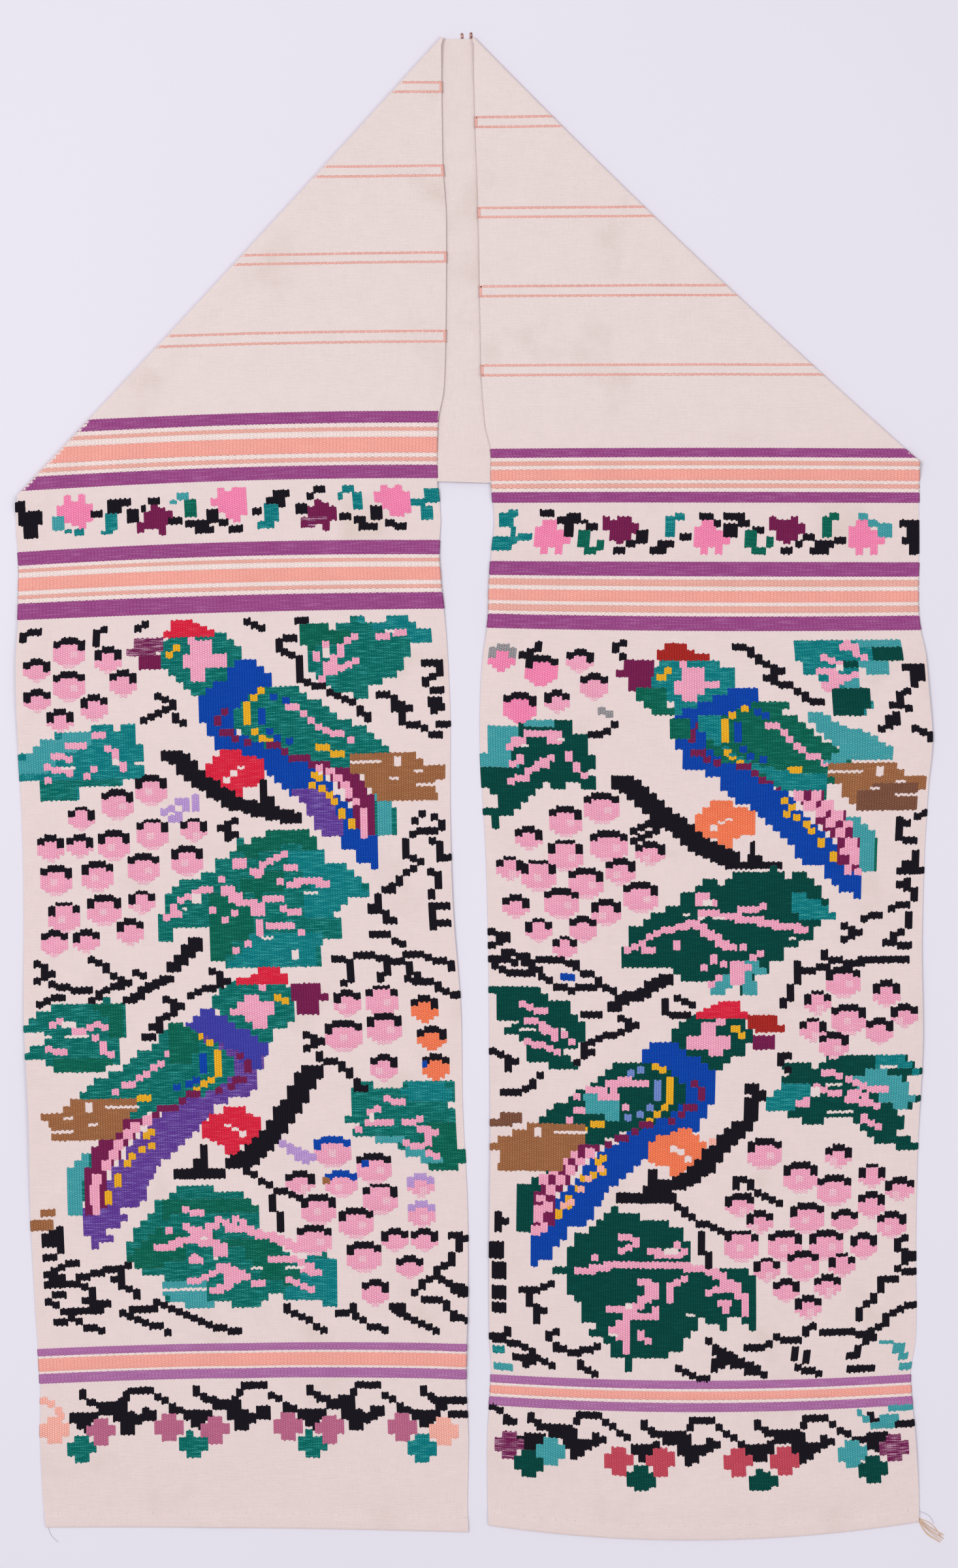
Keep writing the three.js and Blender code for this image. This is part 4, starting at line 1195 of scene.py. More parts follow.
draw_leaf(right, "deep_green",
          "37.2 35 37.4 34.2 38 35.6 39 36 40.4 35.6 41.8 36.2 43 37.2 43 38.8 44 39.6 44 40.4 42 40.8"
          " 43.6 41.4 45.6 41.4 45.6 42.6 42.6 43 42 44 42.2 45.4 40.4 46 39.6 46.4 38.4 46 38.6 47.8"
          " 37.6 48.2 36.8 49 36.8 50.4 35 51 35 53 33.6 53.4 33 52 31.8 51.4 31.4 53 30.2 53.6 29 52.8"
          " 28.8 51.6 26.8 51.6 24.8 50.6 24 49.6 21.6 49.8 17.6 49.8 17.6 46.2 18.6 45.8 18.6 44 19.6"
          " 43.4 21 42 23 41.6 23.4 40.4 25 40.4 25.2 39 25.8 38.2 27 38.4 28 37.6 29 36.4 29.6 36.8 31"
          " 37 32 35.8 36 35.6",
          [("teal", "40 38.8 43.4 39 44 40.4 45.6 41.4 45.6 42.6 41.4 42.8 39.8 41 39.6 39.6"),
           ("light_teal", "29 51 32 50.6 31.4 53.2 29.4 53"),
            ("light_teal", "34 48.8 36.8 49 36.8 50.6 33.6 51"),
           ("light_teal", "33.2 51.4 35 51 35 53 33.6 53.4")],
          "33 40.9 35.4 40.9 36.2 40.2|24.8 45.4 25.2 46.6|28.2 49.6|30.2 50.8 29.6 52|34.8 47.8 36"
          " 47.4|31 48.8|26.2 43.2 23.6 43.8 21.6 44.6 20.4 45.8 18.8 47|20.8 46.6 21.6 47.2|33.4 46.2"
          "|29.6 47.6 30 49|34 49.4",
          "28.2 40 29.6 40|28.4 41.4 30.4 41.8 33 42.2 36 42.8 39 43.4 41 43.8|26.8 42.6 28 43.6 29.4"
          " 44.8 31 45.8 32 47|32.6 48.4 32.6 50 32.6 51.4|28.2 39",
          "28.2 29.4 39.4 40.2 25.6 26.6 41.6 41.9 27.4 28.6 41.9 42.2 29.6 31 42 42.3 39.4 40.2 44.8"
          " 45.2", shift=(-0.5, -0.4))
draw_leaf(right, "deep_green",
          "0.2 52.2 7 52.4 7.4 53.6 9 54.2 10.8 54 10.6 55.6 11.6 56.8 12.4 57.4 12.2 59.4 12 60.6 10.4"
          " 61 10 62.6 11.6 64 9.4 64.4 8 63.8 5.6 63.4 5 62 6 61 4 60.4 4 59.4 1.8 59.4 1.6 58 4 57.6"
          " 1.6 57.4 1.4 55.6 0.2 55.4 1.6 54 0.2 53.4", [],
          "4.4 54.6 4.8 55.4 7.2 55.8|5 57.4 6.8 57.6 7.6 58.8|7.8 58 8.6 58.8 8.6 60|5.2 60 6.4 60.8 8"
          " 61.2 8.8 62|10 59.2 10.6 60.4",
          "7.8 58.6", "4 6.4 58.2 58.6 1.6 4 57.2 57.7 9.4 10 58.2 59", shift=(-0.2, -0.3))
draw_leaf(right, "deep_green",
          "38.2 63.2 40.2 63 40.6 63.8 43 64 44 62.8 46.4 62.2 48.4 62 50 62.6 53.8 62.2 54.2 63 55.6"
          " 63.6 55.8 65 54.4 65.6 54.2 67 54.8 68.6 56 68.6 56 69.6 54.8 70.6 52.2 70.4 54 71.6 54.2"
          " 73 52 73.2 53 74 55.6 74.6 55.8 76.6 54.6 76 52.6 75.8 51 75 49.6 74 48.6 73 47.6 71.6 46"
          " 71 44.2 71.8 43.4 72.6 41.4 72.6 40.6 71.8 38.4 71.8 38.4 71 40 70.6 39 70 37.4 70.6 36.8"
          " 71 36 69.6 36.6 68.8 37 67.8 37.8 67.2 38 65.8 38.6 65",
          [("teal", "38 66 41.8 66 42 67.6 41 69.4 39 70.4 36.8 71 36 69.6 37.8 67.2"),
           ("teal", "50 62.6 53.8 62.2 55.8 65 52 64.6 50 63.6"),
           ("light_teal", "47 65.4 49.4 64.6 52.6 65 54.4 67 54.8 68.6 56 69.4 53.6 70.4 50.8 69 50.6"
            " 67.4 47.6 66.8")],
          "43.6 64.8 45.2 65.2|42.6 66.6 43.4 67.8 45.4 67.8|40.6 69.8 41.8 68.4|46.8 66 48.8 67 51.8 67.6"
          "|46.8 68.8 48.6 69.2 51 69.8|49.2 71.2 49.6 72.4 51 73.2|47.2 67.8 49 68.2", "",
          "42 43 67 68.2 43.8 46 66.6 67 50.8 53 64 64.4 44 47.6 70.4 70.8", shift=(-0.2, -0.4))
draw_leaf(right, "deep_green",
          "15.4 85.6 16.4 85 17 85.8 19.6 86 20 87 22.4 86.8 23.4 86.4 24 87.4 25.4 88 26 89.4 26.2 91"
          " 26.6 93 28 94.2 30 94.6 31 94 34.4 94.2 34.6 95.2 35.4 96 35.2 99 35.2 102.4 34.4 102.4"
          " 33.6 101.4 31.4 101 31 102.4 29.4 102 28.6 101 27 101 27 103.2 26 103.8 25.2 103 25.2 106"
          " 23.6 106 23 107 21.6 107 20.6 106.4 19.4 107 18.8 108.8 18 108.4 17.6 107 16.4 106.8 16"
          " 104.6 13.4 104 13.4 103 14.8 102.6 12.6 101.6 12.6 99.2 13.4 98.2 11.2 98.6 10.8 98 10 97.6"
          " 10 94.8 8.4 95.2 8.6 94.2 10.6 93.6 11 92.8 10 92 10 91 11 90.4 11 89.4 13.6 89 13.6 87.4"
          " 15 86.8", [],
          "17.4 89 19.6 89.8 18.6 90.8 17.8 91.4|14 92.4|25.6 95.2 23.8 96 23.4 97.4 24.2 98.6|16 99.8"
          " 18 99.8|20 100.6 22.2 101 22.2 99.6|20 103.2 20.6 104.4|31.2 99.8|33.6 97.4 34 99 34 100.4"
          "|29 97.2 30.4 96.6|18 102 16 102.6 17.8 104 17.6 105.8|11.6 94.6 13 94|24.6 90.2 25.4 91.2",
          "13 94.2 15 93.6 18 93.4 20 93.4 24 93.4 27 93.6 29.4 94 31 95.4 32 96.4 33 98|21.6 91.2 23"
          " 92 25 92|20.6 95.8 21.6 96.4 21.2 97.8 19.8 99 18.6 100|18.4 100.4 17.8 102 17.6 104|31"
          " 98.8",
          "23 25 91 91.6 17.8 19 99 99.6 15.8 17 103.4 103.8 26 27 100.4 100.9", shift=(-0.1, -0.8))
print("right leaves drawn")

# %% [markdown]
# ## Grapes
# Each grape is a soft pink ball under a black cap, in loose bunches that fill the corners. One
# function draws a grape. The bunches are lists of places: the column of its middle, the row of its
# top and its width in columns.

# %% Bunches of grapes
LARGE_WIDE, LARGE_TALL, SMALL_TALL = 4, 4.5, 3.7
SPOT_WIDE = 3.5


def draw_grape(chart, column, top, wide, skin="pink", cap="black"):
    """A grape from the column of its middle, the row of its top and its width in columns."""
    ribs = round(wide * CHART_RIBS / COLUMNS)
    first = round(column * CHART_RIBS / COLUMNS - ribs / 2)
    last = first + ribs
    low = top + (LARGE_TALL if wide > LARGE_WIDE else SMALL_TALL)
    pale = "pale_pink" if skin == "pink" else skin
    cell = RIBS_A_CELL
    chart.bar(skin, first, last, top + 1, low - 1)
    chart.bar(skin, first + cell - 1, last - cell + 1, top + 0.5, low - 0.5)
    chart.bar(pale, first + cell + 1, last - cell - 1, low - 0.5, low)
    if wide > SPOT_WIDE:
        spot = last - 2 * cell - chance.choice([0, cell])
        chart.bar(pale, spot, spot + cell, top + 2, top + 3)
    chart.bar(cap, first + cell, last - cell, top, top + 0.9)
    for edge in (first, last - cell):
        drop = chance.choice([0.5, 1.0])
        chart.bar(cap, edge, edge + cell, top + 0.5, top + 1 + drop)


LEFT_GRAPES = (
    "6.9 3 4.2 2.7 6 3.4 11.8 4.6 3.4 6.8 8 4.2 13.7 8.2 3.4 2.7 10.4 3.4 10 11.7 3.4 5.5 13.4 3.4 17.1"
    " 23.7 4.2 12.6 25.7 4.2 7.7 27.8 3.4 17.1 29.8 4.2 22.3 29.8 3.6 3.6 32.2 3.4 7.6 32 3.4 11.8 31.4"
    " 4.2 21.4 34.2 4.2 15.9 35 4.2 9.6 36.2 4.2 4.3 36.6 4.2 15.5 40.3 3.6 10.5 41.2 4.4 5.4 41.8 4.2"
    " 13.8 44.7 3.4 8.2 46 3.4 4 46.2 3.4 41.5 55.6 3.6 46.1 54.8 4.2 40.8 59.9 4.7 46 59 4.3 45.9 65.1"
    " 3.6 44.2 79.7 4.4 34.7 82 3.8 44.9 83.8 4.4 37 85.5 4.6 41.7 87.7 4.6 36.2 90.2 4.3 46.7 90.4 3.4"
    " 50.3 90.4 3.4 42.6 92.7 4.6 48.4 94.4 3.5 44 98.1 3.5")
RIGHT_GRAPES = (
    "12.1 2.4 3.5 14.1 6.2 3.5 9.6 8.4 3.3 10.3 25.4 4.2 14.8 23.6 4.6 5.5 28.4 3.5 15.8 29 4.7 10.2"
    " 30.3 4.4 21 30.4 3.8 2.9 32.8 3.6 6.7 33.3 4.4 12.8 34.5 4.5 17.1 33.1 3.8 3.8 38.4 3.4 9.5 37.7"
    " 4.3 15.4 39.2 3.8 19.6 36.7 4.6 6.4 41.8 3.4 12.4 41.7 3.5 9.8 44.3 3.3 45.8 49.2 4.4 51.5 51.2"
    " 3.5 42.5 52.3 3.6 46.6 54.6 4.3 53.5 54.4 3.6 41.7 56.3 3.6 50.5 56.7 3.4 44.7 58.6 3.8 36 74 4.6"
    " 45.7 74.9 3.6 40.7 77.7 4.4 50.1 77.8 3.5 45.3 79.5 4.5 53.9 80 3.8 32.7 82 3.8 50.2 82.1 3.5"
    " 35.6 84.5 3.6 41.6 83.5 4.4 46.7 84.4 3.5 52.9 85.1 3.7 33.1 87.3 4.6 38.8 87.5 4.4 44.3 87.6 4.4"
    " 49.3 88.1 3.4 36.4 91.3 3.6 41.2 90.6 4.1 46.4 90.8 3.5 39.1 94.4 3.5 44.5 94 3.6 41.8 96.9 3.6")
for chart, bunch in ((left, LEFT_GRAPES), (right, RIGHT_GRAPES)):
    for column, row, wide in numbers(bunch, 3):
        draw_grape(chart, column, row, wide)
ODD_GRAPES = (
    (left, 39.0, 77.2, 4.8, "pink", "blue"), (left, 40, 82.2, 4, "pink", "blue"),
    (left, 50.2, 82.4, 3.6, "pink", "lilac"), (left, 50.1, 86.7, 3.6, "pink", "lilac"),
    (left, 51.4, 56.6, 3.6, "orange", "black"), (left, 52.1, 60.9, 3.7, "orange", "black"),
    (left, 52.7, 65.2, 3.6, "orange", "black"), (right, 2.5, 2.2, 3.6, "hot_pink", "grey"),
    (right, 7.4, 3.6, 4.2, "hot_pink", "black"), (right, 4.8, 9.0, 4.2, "hot_pink", "black"),
)
for chart, column, row, wide, skin, cap in ODD_GRAPES:
    draw_grape(chart, column, row, wide, skin, cap)
left.blocks("blue", "50.8 51.7 66 67.2 42.5 43.5 80.4 81.6")
left.blocks("brown", "37.5 38.5 82.9 84 1.2 3.2 86.8 88.2 0 1 88.4 89.8 0.8 3 88.6 89.8")
left.draw("lilac", "18.6 29.4 19.6 28.2 21.2 27.4 21.4 28.6 20 30|22.8 26.8 23.2 28 22.8 29")
left.draw("lilac", "32.6 77.8 33.6 78.6 34.6 80 35.4 80.8|34.6 79 35.4 79.8 36.4 80.2")
right.draw("grey", "15 11.4 15.6 12")
right.draw("blue", "9.6 50.4 11 50.4")
right.draw("peach", "29.2 74.4")
plain_grapes = len(numbers(LEFT_GRAPES, 3)) + len(numbers(RIGHT_GRAPES, 3))
print("grapes drawn:", plain_grapes + len(ODD_GRAPES))

# %% [markdown]
# ## Black twigs
# Thin black twigs and tendrils wander along the edges and between the figures. Each is a line of a
# few points, drawn with short bars so that it climbs in steps, as it has to on a loom.

# %% Twigs of both legs
LEFT_TWIGS = (
    "0.7 3.4 1 2.4 2.6 1.7|10.2 4 10.4 2.3 11.2 1.7|15.7 2.4 16.5 1.6|30 1.5 31.9 2.6|36.8 1.6 37.6 1.6"
    "|34.2 5.4 34.2 4 35.8 3.8|34.8 6.2 36 6.2 36.6 7.2 36.3 8.4 36.9 9.4 37.2 10.4 39 10.9 40.5 11.7"
    " 42 13 43.5 13.7 44.6 14.5 45 15.4 45.8 16.5|53 8 54.6 7.8 55 8.8 54.4 9.8 52.6 10.6 53.8 12 55 12"
    "|46.8 12.2 48.2 12.5 49.2 14 50.6 14.6 49.6 15.8 50.4 16.8 52.4 17.4 53.6 18.5 54.8 18.8|53.8 13.4"
    " 54.6 14.4 53.6 15.4|54.6 16.9 55.6 16.9|18.4 12.2 19.4 12.4 20.4 13.2 19.2 14.3 17.6 14.7 16.6"
    " 15.8|20.6 14.9 21.2 16.4|27.8 30.4 26.2 31.4 27.6 32.2 26.6 33.4|52.2 29.8 51.8 30.9|53.8 30.4"
    " 54.8 31.6 54.4 32.4 51.6 32.6 50.6 33.6 49.8 34.9 50.4 36 52.2 36.9 50.6 38.1 49 39.5 48.2 40.8"
    " 46.6 41.5 46 42.7 45.2 43.8 47 44.4 48 45.3 47.2 45.8|53.6 33.5 54.6 34.7 54.6 36.1 55.4 36.9"
    "|53.4 38.7 54.6 38.9 54.6 40.2 53.6 41.4 53.2 42.5|53.4 43.4 55 43.4|53.4 44.2 53.4 45.6 54.8 45.9"
    " 53.4 46.7|45.4 47.6 46.8 47.4 48 48.2 48.8 48.8|40.2 50.8 41.8 51.2 42.2 52.2 42.2 53.6 41.2 54.8"
    "|43.2 50.6 45 50.6 46.8 51.2 46.6 52.8 45.8 54.4|46.8 51.2 49.2 51.4 49.6 53 51 53.8|49.4 50.4"
    " 51.6 50.6 52.4 51.4 55 51.8 55.4 53|49.4 54.2 53 54.6 53.6 55.6 55 56.2 55.8 56.6|1.8 50.6 3 51.6"
    " 3.4 52.8 1.8 53.8|3.6 54.2 6.6 54.8 8 55.2|4.8 55.8 2.8 56.3 2 57.1|8.8 50.5 10.2 51.1 10.8 52.3"
    " 12.4 53.3 13.8 54.1 11 54.8 9.4 55.5 9.2 56.5|14.6 52.6 15.8 53|24.2 52.1 25.4 53.1 26 54.1 24.6"
    " 54.9 22.6 55.3 21.4 56.5|18.2 56.6 20 57.5 19 58.7 17.4 59.5 16.8 60.5 17 61.7 15.6 62.1|36 62.1"
    " 37.4 62.5 37.8 63.5 35.8 64.1|37.8 64.6 38.2 65.8 39.8 65.9 40.8 66.9 41.6 68.1 42.8 69.1 43 70.1"
    "|27.8 82 29.4 83.1 30.8 84.3 32.2 85.1 34 85.7 34.2 86.5|31 85.8 31 87.1 31.8 88.5 32 90.6|3.6"
    " 89.8 1.8 91.1 3.8 91.7 3.6 93.1|1.6 93.8 3 93.8|4.6 94.8 5.6 95.1|3.6 95.6 1.8 96.6 3.8 97.1 1.8"
    " 98.1 4.4 98.3 6 97.9|3.8 99.4 1.6 100.1 2.6 101.3 4 102.1 6.4 102 8 102.1|2.8 103.3 5.4 103.2 6"
    " 104.1 7.6 104.7 8.8 105.5|6 97.3 8 96.5 9.2 96.7|6.6 98.4 7.8 98.9 7.8 100.1 7 100.7 9.6 101.3"
    "|9.4 96.2 11 96.2 12.2 95.2 10.8 97.4 11 98.3 12.6 98.7 12.8 99.7 13.6 100.7|12.6 101.8 15 102"
    "|11.2 102.6 12.8 103.1 14 104.1 16.4 104.7 16.8 105.5|15.6 101 17 101.7 18.4 102.7 20.4 103.1 21.4"
    " 104.1 23.6 104.9 26.2 105.5|32.6 101.5 33.4 103.1 35 103.7 36.2 104.7 37.6 105.5|39.2 103.1 40.8"
    " 103.1 41.2 101.9|41.4 103.4 42.4 104.1 43.6 104.9 45 105.5|46.4 101.9 47.4 103.1 48.8 104.1 50.2"
    " 104.7 51.8 105.7|54 91.2 55.6 91.9 54.8 93.1 54.2 94.5 53.6 95.7 52.2 96.5 52.4 97.9 50.8 98.1"
    " 49.6 99.5 49 100.1|52.6 98 53.8 98.7 55.2 99.7 55.4 100.5|50.4 100.9 52.8 101.1 53.8 102.5 54.8"
    " 103.5 56 103.9")
LEFT_FAT_TWIGS = ("22.4 47.6 22 48.6 21 50.2 19.6 51.8|3.2 90.4 2.6 92|3 97 2.6 98.6|54.8 99.2 55.4"
                  " 100|47.2 102.4|49.4 14.4|54 13.8")
RIGHT_TWIGS = (
    "7 1.6 6.4 2.8 5.4 3.6 6.2 4.2|17.6 1.6 16.6 2.3 17.6 3.6|32 1.8 33.4 2 34.6 3.3 35 4.2 36.6 4.9"
    " 37.4 5.7 36 6.5 37 7.1 38.6 7.6 39.8 8.5 40.8 9.7 41.6 10.5|42.4 9.8|53.4 4.9 55 4.9 55.6 6.1"
    " 54.6 7.2 53.4 8.3 52 9.1 51.8 10.5 53 11|51.6 11.6 52 12.7 50.8 13.2 49.4 14.1|53.8 14.1 55.4"
    " 14.5 55.8 15.4|16.8 13.2 16.6 13.9 15.2 14.5 13.8 15.4|18.8 29.2 20 28 21.6 27.9 22 29 20.6 29.9"
    " 19 30.4|52.6 27.2 53.4 27.9 52.6 29 52.4 30.2 54.4 30.7|56 26 55.2 26.9|55 32 54.6 34 55.4 34.9"
    " 53.4 35|54 36.1 53.4 37.2 55 38.1 54.8 39.5 53 40.1 51.6 40.8|48.6 41.8 50.4 41.6|54.4 41.4 54.2"
    " 43.4 52.6 44.3 51.8 45.5 54 46.1|43.4 46.9 43.4 48.1 47.8 48.4|48.2 48 51.2 47.8 54 48.1|46 42.7"
    " 47.6 43.9 46.4 44.9|0.4 44.2 1.8 44.2 2.6 45.4 0.4 46|0.4 48 3 48.3|2.2 46.9 4.6 47.5|0.8 48.7"
    " 2.4 49.9 5 50.3 6.6 49.4 5 48.4 7.4 48.1|7.6 48 11.2 48.4 11.4 49.6 13.6 50.2 14 51.5 15.8 52.6|7"
    " 50.5 8 51.5 9.6 52.3 12 52.2 13.8 51.8|22.6 53.6 22.8 55.4 23.6 56.3 25.6 56.2|24.2 53.1 25 54.1"
    " 26.2 54.7|12.2 56.1 13.8 56.2|17 56.3 18.8 57.3 17.2 58.6 14.8 59.3 13.4 59.9 12.4 60.4 12.8 61.5"
    "|40 48.3 39.6 49.5 40 50.9 39 52.1 38.6 53.7 37.8 55.1|41 49.4 43.6 49.1|37.8 61.9 38.8 61.7 37.6"
    " 62.9 38.4 63.9|0.4 61.1 1.4 62.1 3 63.1 2.2 64.7|12.2 61.7 11.4 63.5|6.6 64.9 5.6 66.1 4.6 67.1 2"
    " 67.7|24.8 83.6 26 84.9 27.6 86.5 30 87.1 31 88.1|27.8 87.6 27.6 90.1 28.8 91.1 28.8 92.9|32.4"
    " 81.2 32.6 79.8 34 80.3 34.8 81.7 36.2 82.5 37.6 83.5|33.8 82.2 34 83.1|1.2 85.1 1.6 86.5 0.8 87.7"
    "|4.2 96.3 7 96.3 8 95.4|5.2 97.3 5.6 98.7 6.8 99.5 6 101.4|0.4 103.5 2.6 103.5 2.6 102.3|2.8 104.2"
    " 4.6 104.7 5.6 106.1 5 107.7|3.4 106.5 7 106.6 7.8 107.7|8.6 102.1 7.8 103.3 9 104.9 11.6 105.5"
    "|12.2 105.1 14 104.5|12 106.5 12.6 108.1 14 108.7|25 107.5 26.6 108.7 29 108.9|28.8 103.1 29.6"
    " 104.5 31.2 105.5 30.2 107.5|29.8 106.3 33 106.7 35 107.3 36 108.7|34 104.7 36.8 104.1|37.6 102.9"
    " 38 103.7 40.6 103.7 41.6 102.5 42.4 101.3|40.4 104.9 40.4 106.5|41 107.5 43.6 108.3|42 105.1 42.2"
    " 106.5|43.8 102.4 48 102.4|48.4 100.5 48.8 99.1 50.4 98.1 51.2 96.5 51.2 94.9 53 95.1|56 98.8 53.6"
    " 99.5 52.2 100.5 52 101.9 50.2 102.3|48.6 102.7 50.4 103.7 48.6 104.7 48 106.1|48 108.2 50.4 107.9"
    "|54.6 88.6 53.2 90.1 55.2 91.5 54.4 93.1|53.6 93.6 55.2 94.1")
RIGHT_FAT_TWIGS = (
    "22.8 50.6 21.2 51.8 19.6 52.8 17.4 53.8 15.8 55|0.8 89.6 1.4 91.6|1.4 93 1 95|1.4 96.4 1.2 98|1.2"
    " 99.4|1.4 103.8|54.6 5.6 55 6.6|51.2 12.8|54.2 34.4|31 105.8 32.4 106.6|34.8 107.6|55 91.8")
left.draw("black", LEFT_TWIGS)
left.draw("black", LEFT_FAT_TWIGS, 2, 1.5)
left.draw("black", "18.4 53.2 16.6 54.4 15 55.7 13.8 56.4", 2, 1)
right.draw("black", RIGHT_TWIGS)
right.draw("black", RIGHT_FAT_TWIGS, 2, 1.5)
right.blocks("teal", "0.3 2 104.8 106.2")
right.blocks("light_teal", "0.3 2.8 107.4 108.5 51.2 53 104 104.6 53 54.6 104.6 106 54 55.4 106 107"
             " 54.4 56 107.4 108.4")
print("black squares:", int((left.squares == 0).sum() + (right.squares == 0).sum()))

# %% [markdown]
# ## Rose border
# Between the two groups of stripes runs a row of roses on a black stem. Pink and plum roses take
# turns, with teal leaves that hook up or down between them. On the left leg the roses' petals point
# up, and on the right leg down, so the same rose is turned over.

# %% Roses, leaves and stems above the birds
PINK_ROSE = ("1.2 0 2.2 0 2.4 0.9 3.2 0.9 3.2 0 4.2 0 4.2 1 5 1.4 5 3.6 4.2 4 4 4.8 2.6 4.8 2 3.8"
             " 0.8 3.2 0.2 2 0 1.4 1.2 1.2")
PLUM_ROSE = ("2 0 3 0 3.4 0.8 4.2 1.2 4.6 2.2 5 2.6 4.6 3.4 3.6 3.4 3.6 4.4 2.8 4.6 2.4 3.8 1.4 3.8 0.6"
             " 4.4 0 3.8 0.4 2.8 0.8 1.8 1.4 1")


def rose(chart, yarn, outline, column, row, turn=False, flip=False):
    def place(points):
        x, y = points[:, 0], points[:, 1]
        x = 5.4 - x if flip else x
        y = 4.8 - y if turn else y
        return np.stack([x + column, y + row], -1)
    chart.place = place
    chart.fill(yarn, outline, 0.5)
    chart.place = as_drawn


for column in (5.4, 25.9, 47.4):
    rose(left, "hot_pink", PINK_ROSE, column, -17.7 - column * 0.01)
for column in (16.0, 37.6):
    rose(left, "plum", PLUM_ROSE, column, -16.2)
left.blocks("streaked_plum", "37.6 41 -13.6 -12.8 38.4 39.4 -12.8 -12")
for column in (5.0, 26.0, 46.4):
    rose(right, "hot_pink", PINK_ROSE, column, -16.3, turn=True, flip=True)
for column in (14.2, 36.2):
    rose(right, "plum", PLUM_ROSE, column, -17.6, turn=True)
left.blocks("black", "0 1.4 -17.4 -15.8 0.4 3.6 -16 -14.2 0.8 3 -14.2 -12.2 10 11.4 -15.4 -14.6 12 14"
            " -17 -15.2 13.2 15.2 -17 -16.2 14.7 16.2 -15.6 -13.6 16.4 17.2 -16 -15 17.4 19 -17 -16"
            " 20.2 22 -14 -13 22.2 25.6 -13.4 -12.4 23.4 26 -12.4 -11.4 25.2 26.7 -15 -13.2 26.8 28"
            " -13.4 -12.4 28 29.8 -12.6 -11.4 31.2 32.6 -15 -14.2 33 35.6 -16.6 -15.2 34 36.4 -17.4"
            " -16.4 36.8 38.4 -15.6 -13.8 38.6 39.4 -17 -16 39.6 41.2 -18 -17 42.6 44.2 -14 -13 44.5 46"
            " -13.4 -12.4 45.2 47.8 -12.6 -11.6 46.8 48.4 -14.8 -13 48.8 50 -13.2 -12.2 49.8 51.6 -12.4"
            " -11.4")
left.blocks("teal", "11.8 13.4 -15 -12.6 11.2 12.8 -12.6 -11.8 32.8 34.6 -15.6 -12.8 31.8 34 -13 -12"
            " 42.5 43.3 -17 -15.8 43.2 44.8 -17.8 -16.8 44.4 45.8 -17 -14.6 54 56 -17.6 -15.6 52.2 54.2"
            " -15.8 -14.8 53.4 55 -14.8 -13 6.4 7.2 -13.2 -12.6 7.6 9 -12.8 -11.8")
left.blocks("light_teal", "4.8 6.4 -15 -13.2 20.4 21.4 -16.6 -15.8 21.2 23 -17.4 -16.4")
left.blocks("dark_green", "22.2 23.8 -16.6 -14.2")
right.blocks("black", "6 8 -17.8 -16.8 8.4 9.4 -17 -15.8 9.4 11.4 -17.4 -16.2 9.2 10.6 -16.2 -14.2 10.6"
             " 12.4 -16.6 -15.8 12 13.6 -16 -14.8 15.8 17.6 -12.6 -11.6 17.6 18.8 -13.4 -12.4 18.8 20.4"
             " -15 -13.2 20.6 23 -12.6 -11.6 21.6 24 -13.6 -12.4 24.4 26 -14.4 -13.4 27 29 -17.4 -16.4"
             " 29 30 -16.6 -15.6 30.2 33 -17.4 -16.4 30.2 32 -16 -14 32 33.8 -16.6 -15.6 34 35.6 -15.6"
             " -14.6 38 39.6 -12.6 -11.6 39.8 40.6 -13.4 -12.4 40.6 42.4 -14.4 -13.4 41.6 44.2 -12.6"
             " -11.6 42.4 45 -13.6 -12.4 45 46.6 -14.2 -13.2 53.6 56 -16.6 -15.6 54.4 56 -15.8 -13 53.8"
             " 55.6 -13.8 -13 54.6 56 -13 -11.6")
right.blocks("teal", "0.6 2.4 -17.4 -15.4 1.8 3.2 -17.8 -16.8 2.2 3 -15.4 -14.2 3.2 5 -14.4 -13.4 0 2.4"
             " -13.8 -11.8 2 3.2 -13.8 -12.8 22.6 24 -17.2 -13.8 23.8 25.2 -17.6 -16.6")
right.blocks("dark_green", "33.2 34.8 -15 -12.4 34.2 36 -12.6 -11.4 36 36.8 -14 -12.4 43.2 44.4 -17.2 -13.8"
             " 44.2 45.4 -17.6 -16.4 11.2 12.8 -15 -12.6 12 13.6 -12.6 -11.4 13.8 14.6 -13.6 -12")
right.blocks("light_teal", "48 49.4 -17.6 -16.4 49.4 50.6 -16.6 -15.6 50.6 52.4 -15.8 -13.8")
print("rose border drawn")

# %% [markdown]
# ## Vine border
# The hem end has a vine that repeats every fifteen columns: a stub, an arm, an arch and two dark
# leaves, with round grapes hanging below. One unit is drawn four times, and the grapes are a list.

# %% The vine and its grapes
BALL = "0.9 0 2.5 0 2.5 0.8 3.5 1 3.5 2.8 2.6 3.1 2.5 4 1.1 4 1 3.1 0 2.8 0 1.1 0.9 0.9"


def draw_vine(chart, column, row, whole_unit=True):
    chart.place = moved(column, row)
    chart.draw("black", "5.6 0.6 5.8 1.6 7 2.2|7 2.4 9.4 2.6 11 2.4")
    chart.fill("black", "3.8 3.8 8 3.6 8 4.8 6.8 5.4 6.4 6.6 5.4 6.6 5 5.4 3.8 5", 0.5)
    if whole_unit:
        chart.fill("black", "9.8 2.4 11.2 2 11.6 3.6 13 4.2 13.6 3 14.4 3.2 15.4 3.8 15 5 13.4 5.2 12.4"
                   " 6.4 12 7 10.8 7 10.6 5.4 9.8 5.2", 0.5)
        chart.blocks("black", "11.6 15 0 1 11 12 0.8 2 7.8 9.8 2.4 4")
        chart.draw("black", "15.4 1.4 16.4 2.3 17.4 3.1 18 3.8")
    chart.place = as_drawn


def draw_ball(chart, yarn, column, row):
    chart.place = moved(column, row)
    chart.fill(yarn, BALL, 0.5)
    chart.place = as_drawn


